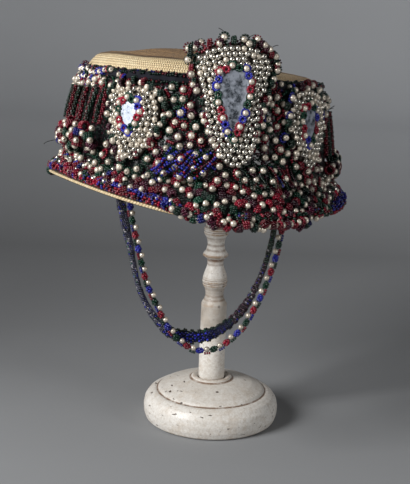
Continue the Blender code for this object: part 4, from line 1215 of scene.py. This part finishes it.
spot, side, outward, over = brim_frame(a + chance.normal(0, 0.004, a.shape), np.ones_like(a), 0.0)
edge_points = spot + outward * (edge_out[k] + wobble - drawn_back + 0.6 * stand)[..., None] + over * (
    edge_rise[k] + 0.25 * drawn_back + wobble + stand)[..., None]
edge_ways = outward * np.gradient(edge_out)[k][..., None] + over * np.gradient(edge_rise)[k][..., None]
edge_ways = edge_ways + side * chance.normal(0, 0.5, a.shape)[..., None]
loop_odds = chance.uniform(size=(LOOPS, 1)) + 0.25 * np.sin(0.21 * np.arange(LOOPS))[:, None]
plain_red = 0.45 * (1.0 - bare_edge(a[:, :1])) * (np.degrees(a[:, :1]) < 62.0)
turns_blue = np.where(loop_odds < 0.24 - plain_red, 1, np.where(loop_odds > 0.66 - plain_red, 8, 4))
turns_blue = np.where(bare_edge(a[:, :1]) > 0.5, np.minimum(turns_blue, 4), turns_blue)
turns_blue = np.where(neat_edge(a[:, :1]) > 0.5, 3, turns_blue)
red_or_blue = np.where((k < turns_blue)[..., None], np.array(CRIMSON), np.array(COBALT) * 0.75)
mixed = chance.uniform(size=a.shape)[..., None]
dark_ones = np.where(mixed < 0.10, np.array(WINE), np.array(BOTTLE))
dark_share = 0.34 + 0.25 * overhang(a) - 0.22 * np.maximum(neat_edge(a), bare_edge(a))
bright = chance.uniform(0.35, 1.35, a.shape) * (1.0 + 0.35 * bare_edge(a))
edge_tints = np.where(mixed < dark_share[..., None], dark_ones, red_or_blue) * bright[..., None]
spilled_over = chance.uniform(size=(LOOPS, 1)) <= 0.5 * overhang(a[:, :1])  # loops that the heap hides
shown = np.broadcast_to(~spilled_over, a.shape)
edging = strung("edging_loops", SEED_BEAD, on_hat(edge_points[shown]), edge_ways[shown] @ HAT_TURN.T, SEED,
                edge_tints[shown])
edging.data.materials.append(seed_look)
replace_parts(edging, "brim_edging")


# Pearl string: one of the two chin straps, pearls on a dark thread with a knot of seed beads
# after each, red, then blue, then green, and three more beside it. It hangs inside the crown.
PEARL_ROUTE = [  # x, y, z
    (-75.4, -85.0, 203.9), (-75.3, -86.7, 184.9), (-75.3, -88.4, 180.1), (-73.5, -90.7, 172.9),
    (-72.0, -91.3, 165.8), (-70.6, -91.4, 158.9), (-68.6, -91.5, 151.5), (-67.2, -91.6, 144.2),
    (-64.9, -91.8, 137.3), (-63.3, -91.9, 130.2), (-59.6, -92.2, 123.5), (-56.2, -92.4, 116.5),
    (-52.9, -92.7, 109.3), (-49.1, -93.0, 103.1), (-44.6, -93.3, 96.8), (-39.3, -93.7, 91.8),
    (-32.8, -94.1, 87.7), (-25.8, -94.6, 86.3), (-17.7, -95.2, 87.5), (-11.7, -95.6, 90.8),
    (-5.8, -96.1, 96.1), (-0.9, -96.4, 101.1), (3.6, -96.7, 107.9), (6.4, -96.9, 114.6),
    (10.4, -97.2, 121.3), (13.1, -97.4, 128.4), (15.4, -97.6, 135.1), (18.0, -97.8, 141.8),
    (19.8, -97.9, 150.1), (21.6, -98.0, 157.6), (22.7, -97.9, 165.0), (24.4, -96.6, 173.0),
    (27.7, -92.5, 198.0)]


def smooth_line(route, count):
    """A route through its points: each span is the cubic that meets its neighbours' slopes,
    then walked in equal steps. Returns the places and the way ahead at each."""
    p = np.array(route, dtype=float)
    ends = np.concatenate([p[:1], p, p[-1:]])
    t = np.linspace(0, 1, 12, endpoint=False)[None, :, None]
    a, b, c, d = (ends[i:len(p) - 1 + i][:, None] for i in range(4))
    bend, twist = 2 * a - 5 * b + 4 * c - d, 3 * b - a - 3 * c + d
    fine = 0.5 * (2 * b + (c - a) * t + bend * t ** 2 + twist * t ** 3)
    fine = np.concatenate([fine.reshape(-1, p.shape[1]), p[-1:]])
    run = np.concatenate([[0.0], np.cumsum(np.linalg.norm(np.diff(fine[:, :3], axis=0), axis=1))])
    at = np.linspace(0, run[-1], count)
    line = np.stack([np.interp(at, run, fine[:, i]) for i in range(p.shape[1])], 1)
    ahead = np.gradient(line[:, :3], axis=0)
    return line, ahead / np.linalg.norm(ahead, axis=1, keepdims=True)


def tube_skin(name, rings_of_points):
    """A skin over rings of points, one ring after another along a line, closed at both ends."""
    rows, sides = rings_of_points.shape[:2]
    end = np.arange(sides)[None]
    return new_piece(name, rings_of_points.reshape(-1, 3),
                     [grid_faces(rows, sides, round_columns=True), end[:, ::-1], end + (rows - 1) * sides])


def tube(name, line, ahead, radius, sides=6):
    """A thread: points in a ring round each place of the line, across it and deep of it."""
    across = np.cross(ahead, [[0.17, 0.98, 0.0]])
    across /= np.linalg.norm(across, axis=1, keepdims=True)
    deep = np.cross(ahead, across)
    angle = np.arange(sides) * 2 * np.pi / sides
    return tube_skin(name, line[:, None, :3] + radius * (
        np.cos(angle)[None, :, None] * across[:, None] + np.sin(angle)[None, :, None] * deep[:, None]))


thread_look, shader, w, place = new_material("dark_thread", roughness=0.85, Specular_IOR_Level=0.2)
tone = w.group(patches, Place=place, Broad=160.0, Fine=900.0)
colour = w.mix(tone.outputs["Tone"], (0.004, 0.007, 0.006), (0.012, 0.005, 0.007))
colour = w.mix(w.math("MULTIPLY", tone.outputs["Speck"], 0.4), colour, (0.005, 0.022, 0.013))
w.put(shader.inputs["Base Color"], colour)
roughen(w, shader, w.noise(place, 850.0, 3.0, 0.7), 0.8, 0.0008)

STRING_PEARLS, KNOT_BEADS = 28, 16
line, ahead = smooth_line(PEARL_ROUTE, 2 * STRING_PEARLS + 1)
string_thread = tube("string_thread", line, ahead, 0.45)
string_thread.data.materials.append(thread_look)
spots, ways = line[1::2], ahead[1::2]
beside = np.cross(ways, [[0.0, -1.0, 0.0]])
beside /= np.linalg.norm(beside, axis=1, keepdims=True)
toward = np.cross(beside, ways)
string_pearls = strung("string_pearls", ROUND_BEAD, spots - beside * 0.8, ways, 2.0,
                       np.array(CREAM) * chance.uniform(0.6, 0.95, (len(spots), 1)))
string_pearls.data.materials.append(pearl_look)
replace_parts(string_pearls, "pearl_string")
loop_at, loop_ways, loop_out = 0.5 * (spots[1:] + spots[:-1]), ways[:-1] + ways[1:], beside[:-1]
loop_ways = loop_ways / np.linalg.norm(loop_ways, axis=1, keepdims=True)
loop_deep = np.cross(loop_ways, loop_out)
loop_at = loop_at + 0.5 * loop_out
rows = [loop_at + loop_ways * step + reach * (np.cos(spin) * loop_out + np.sin(spin) * loop_deep)
        for step, phase, reach in ((-1.7, 0.0, 0.85), (-0.6, 0.8, 1.4), (0.6, 0.2, 1.45), (1.7, 1.0, 0.85))
        for spin in phase + np.arange(4) * np.pi / 2]
places = np.stack(rows, 1).reshape(-1, 3)
threads = np.repeat(loop_ways, KNOT_BEADS, axis=0) + chance.normal(0, 0.5, (len(places), 3))
loop_tints = np.repeat(np.array([CRIMSON, COBALT, BOTTLE])[np.arange(len(loop_at)) % 3], KNOT_BEADS, axis=0)
side_seeds = np.concatenate([spots + beside * 1.7 + toward * 0.6 + ways * step for step in (-1.5, 0.0, 1.5)])
side_tints = np.tile(np.array([COBALT, BOTTLE, CRIMSON])[np.arange(len(spots)) % 3] * 0.6, (3, 1))
string_tints = np.concatenate([loop_tints, side_tints])
string_seeds = strung("string_seed_beads", SEED_BEAD, np.concatenate([places, side_seeds]),
                      np.concatenate([threads, ways, ways, ways]), SEED,
                      string_tints * chance.uniform(0.6, 1.4, (len(string_tints), 1)))
string_seeds.data.materials.append(seed_look)


# Ruffle strap: the other chin strap, a netting of small dark beads. It narrows below the
# hat, and its lowest part is gathered into a ribbed ruffle with a bright blue core.
RUFFLE_ROUTE = [  # x, y, z, width, thickness
    (-81.3, -78.7, 203.7, 5.4, 2.6), (-80.9, -78.8, 186.1, 5.8, 3.2), (-79.1, -79.1, 176.7, 5.8, 3.2),
    (-76.4, -79.6, 163.8, 5.2, 3.2), (-74.2, -80.0, 155.1, 4.4, 3.0), (-71.4, -80.5, 140.3, 3.6, 3.0),
    (-68.2, -81.1, 128.0, 3.6, 3.0), (-64.6, -81.7, 119.1, 3.8, 3.0), (-59.8, -82.6, 110.4, 4.4, 3.2),
    (-52.8, -83.8, 101.5, 5.6, 3.6), (-45.9, -85.1, 96.3, 8.0, 4.2), (-38.2, -86.5, 94.3, 9.0, 4.4),
    (-29.7, -88.0, 94.1, 9.0, 4.4), (-20.4, -89.7, 96.3, 8.4, 4.2), (-12.1, -91.2, 101.0, 6.8, 3.8),
    (-3.9, -92.6, 108.5, 6.2, 3.4), (3.3, -93.9, 118.7, 5.4, 3.2), (8.4, -94.8, 129.5, 4.0, 3.0),
    (12.5, -95.6, 140.3, 3.4, 3.0), (16.1, -96.2, 153.7, 3.4, 3.0), (18.8, -96.7, 168.6, 3.6, 3.0),
    (21.8, -97.2, 198.8, 3.8, 2.6)]
RIBS, NET_ROUND = 200, 11
line, ahead = smooth_line(RUFFLE_ROUTE, RIBS)
across = np.cross(ahead, [[0.17, 0.98, 0.0]])
across /= np.linalg.norm(across, axis=1, keepdims=True)
deep = np.cross(ahead, across)
share = np.linspace(0, 1, RIBS)[:, None]
gathered = np.clip((line[:, 3:4] - 5.6) / 2.4, 0, 1)  # 1 in the ruffle, 0 where the netting is a cord
lumps = 1.0 + 0.10 * np.sin(0.9 * np.arange(RIBS)) * np.sin(0.37 * np.arange(RIBS) + 1.0)
width, thick = line[:, 3:4] / 2 * lumps[:, None], line[:, 4:5] / 2
angle = np.arange(12) * 2 * np.pi / 12
core_points = line[:, None, :3] + ((width - 1.1) * np.cos(angle))[..., None] * across[:, None] + (
    (thick - 0.9) * np.sin(angle))[..., None] * deep[:, None]
core = tube_skin("strap_core", core_points)
core.data.materials.append(thread_look)
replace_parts(core, "ruffle_strap")
spin = np.arange(NET_ROUND) * 2 * np.pi / NET_ROUND + (np.arange(RIBS) % 2)[:, None] * np.pi / NET_ROUND
c, s = np.cos(spin), np.sin(spin)
right_half = np.clip((share - 0.5) / 0.08, 0, 1) * np.clip((0.86 - share) / 0.08, 0, 1)
ribbed = np.maximum(gathered, 0.8 * right_half)
flare = 1.0 + ribbed * (0.26 * (np.arange(RIBS) % 4 < 2)[:, None] - 0.10)
net_points = line[:, None, :3] + ((width - 0.55) * c * flare)[..., None] * across[:, None] + (
    (thick - 0.45) * s * flare)[..., None] * deep[:, None]
net_round = c[..., None] * deep[:, None] - s[..., None] * across[:, None]
net_ways = ahead[:, None] * (1 - 0.8 * gathered)[..., None] + net_round * (0.4 + 0.6 * gathered)[..., None]
navy, plum, olive = np.array([(0.020, 0.020, 0.036), (0.032, 0.016, 0.024), (0.008, 0.016, 0.010)])
tint = np.where((share > 0.80)[..., None], olive, np.where((share > 0.60)[..., None], plum, navy))
tint = tint * np.ones((RIBS, NET_ROUND, 1))
middle_of_ruffle = (np.abs(c) < 0.66) & (gathered > 0.3)
core_blue = np.array(COBALT) * np.where(share > 0.55, 0.35, 1.0)[..., None]
tint = np.where(middle_of_ruffle[..., None], core_blue, tint)
tint = np.where(((np.abs(c) >= 0.66) & (gathered > 0.3))[..., None], olive, tint)
odd = chance.uniform(size=(RIBS, NET_ROUND, 1))
tint = np.where((odd < 0.10) & (gathered < 0.3)[..., None], np.array(COBALT) * 0.5, tint)
tint = np.where(odd > 0.93, np.array(BOTTLE), tint) * chance.uniform(0.2, 2.2, (RIBS, NET_ROUND, 1))
# a few pale grey beads along the netted cord: painted glints
tint = np.where((odd > 0.5) & (odd < 0.58) & (gathered < 0.3)[..., None], np.array((0.20, 0.19, 0.20)), tint)
rib_shade = np.where((np.arange(RIBS) % 2 == 0)[:, None] | (ribbed < 0.3), 1.2, 0.32)
tint = tint * rib_shade[..., None]
net = strung("strap_netting", SEED_BEAD, net_points.reshape(-1, 3), net_ways.reshape(-1, 3), 0.78,
             tint.reshape(-1, 3))
net.data.materials.append(seed_look)


# Loose threads: stiff dark ends that were cut long and stick out of the knots.
LOOSE_ENDS = [  # run round the wall, height, out, then how far it goes: round, up, out
    (to_run(-78.0), 26.0, 17.0, -4.0, -3.0, 8.0), (to_run(-4.0), 104.0, 8.0, -5.0, 4.5, 0.5),
    (to_run(6.0), 103.0, 8.0, 5.0, 3.5, -0.5), (to_run(17.0), 98.0, 8.0, 4.0, 3.0, 0.5),
    (to_run(58.0), 60.0, 9.0, 3.5, 3.0, 3.0), (to_run(62.0), 61.0, 9.0, -2.0, 3.5, 3.5)]
for number, (run, z, out, go_round, go_up, go_out) in enumerate(LOOSE_ENDS):
    point, side, up, outward = wall_frame(np.array([run]), np.array([z]), np.array([out]))
    t = np.linspace(0, 1, 9)[:, None]
    path = point + side * go_round * t + up * (go_up * t - 1.5 * t ** 2) + outward * go_out * np.sin(1.4 * t)
    path = on_hat(path)
    ahead = np.gradient(path, axis=0)
    ahead = ahead / np.linalg.norm(ahead, axis=1, keepdims=True)
    loose = tube(f"loose_thread_{number + 1}", path, ahead, 0.22, 5)
    loose.data.materials.append(thread_look)


# Room: a plain floor that rises into a backdrop, with painted light and shade in its colour:
# mid grey round the stand, darkest a little behind it, darker to the left and lighter to the
# right, and paler up the backdrop. One large soft light at the left front, a smaller one at
# the right, and a dim even sky.
turn = np.linspace(0, np.pi / 2, 24)
flat_y = np.concatenate([[-2400.0, -1200.0], np.arange(-600.0, 1501.0, 100.0)])
floor_y = np.concatenate([flat_y, 1500.0 + 900.0 * np.sin(turn[1:]), [2400.0]])
floor_z = np.concatenate([0.0 * flat_y, 900.0 - 900.0 * np.cos(turn[1:]), [3200.0]])
span = np.concatenate([[-3200.0, -1600.0, -800.0], np.arange(-500.0, 501.0, 50.0), [800.0, 1600.0, 3200.0]])
sweep = floor_y[:, None, None] * AWAY + span[None, :, None] * SIDE + floor_z[:, None, None] * UP
depth = (floor_y + floor_z)[:, None]
# painted light and shade on the floor, by depth: darkest half a metre behind the stand, paler up the backdrop
fade = np.interp(depth, [-600.0, -83.0, 32.0, 152.0, 300.0, 504.0, 1375.0, 2170.0, 3200.0],
                 [0.26, 0.272, 0.240, 0.240, 0.205, 0.190, 0.67, 0.72, 0.75])
# painted shade to the left of the stand and painted light to its right, strongest a little behind it
uneven = np.interp(depth, [20.0, 152.0, 504.0, 1375.0, 2170.0], [0.0, 0.33, 0.28, 0.16, 0.12])
fade = fade * (1.0 + uneven * np.clip(span / (170.0 + 0.14 * np.clip(depth, 0, 2200)), -1, 1))
floor = new_piece("studio_floor", sweep.reshape(-1, 3), grid_faces(len(floor_y), len(span)),
                  marks={"fade": fade.ravel()}, rides=False)
floor_look, shader, w, place = new_material("pale_paper", roughness=0.9)
fade = w.add("ShaderNodeAttribute", attribute_name="fade").outputs["Fac"]
# the floor's colour: its painted light and shade, a little uneven at random
painted_light = w.math("MULTIPLY", fade, w.fit(w.noise(place, 3.0, 2.0), 0.0, 1.0, 0.96, 1.04))
w.put(shader.inputs["Base Color"], w.mix(painted_light, (0.0, 0.0, 0.0), (0.955, 0.975, 1.0)))
floor.data.materials.append(floor_look)


def soft_light(name, azimuth, elevation, away_mm, width_mm, height_mm, power):
    """An area light that looks at the hat from an azimuth round the stand and a height over it."""
    a, e = np.radians([azimuth, elevation])
    back = np.array([np.sin(a) * np.cos(e), -np.cos(a) * np.cos(e), np.sin(e)])
    right = np.array([np.cos(a), np.sin(a), 0.0])
    data = bpy.data.lights.new(name, "AREA")
    data.shape = "RECTANGLE"
    data.size, data.size_y, data.energy = width_mm * 0.001, height_mm * 0.001, power
    lamp = bpy.data.objects.new(name, data)
    bpy.context.scene.collection.objects.link(lamp)
    lamp.matrix_world = axes_matrix([right, np.cross(back, right), back], back * away_mm + UP * 180.0)


soft_light("left_window", -64.0, 26.0, 1500.0, 620.0, 700.0, 31.0)
soft_light("right_window", 44.0, 12.0, 1700.0, 500.0, 700.0, 7.5)
room = bpy.data.worlds.new("dim_room")
room.use_nodes = True
room.node_tree.nodes["Background"].inputs["Color"].default_value = (0.62, 0.64, 0.68, 1.0)
room.node_tree.nodes["Background"].inputs["Strength"].default_value = 0.09
bpy.context.scene.world = room
bpy.context.scene.view_settings.view_transform = "Standard"
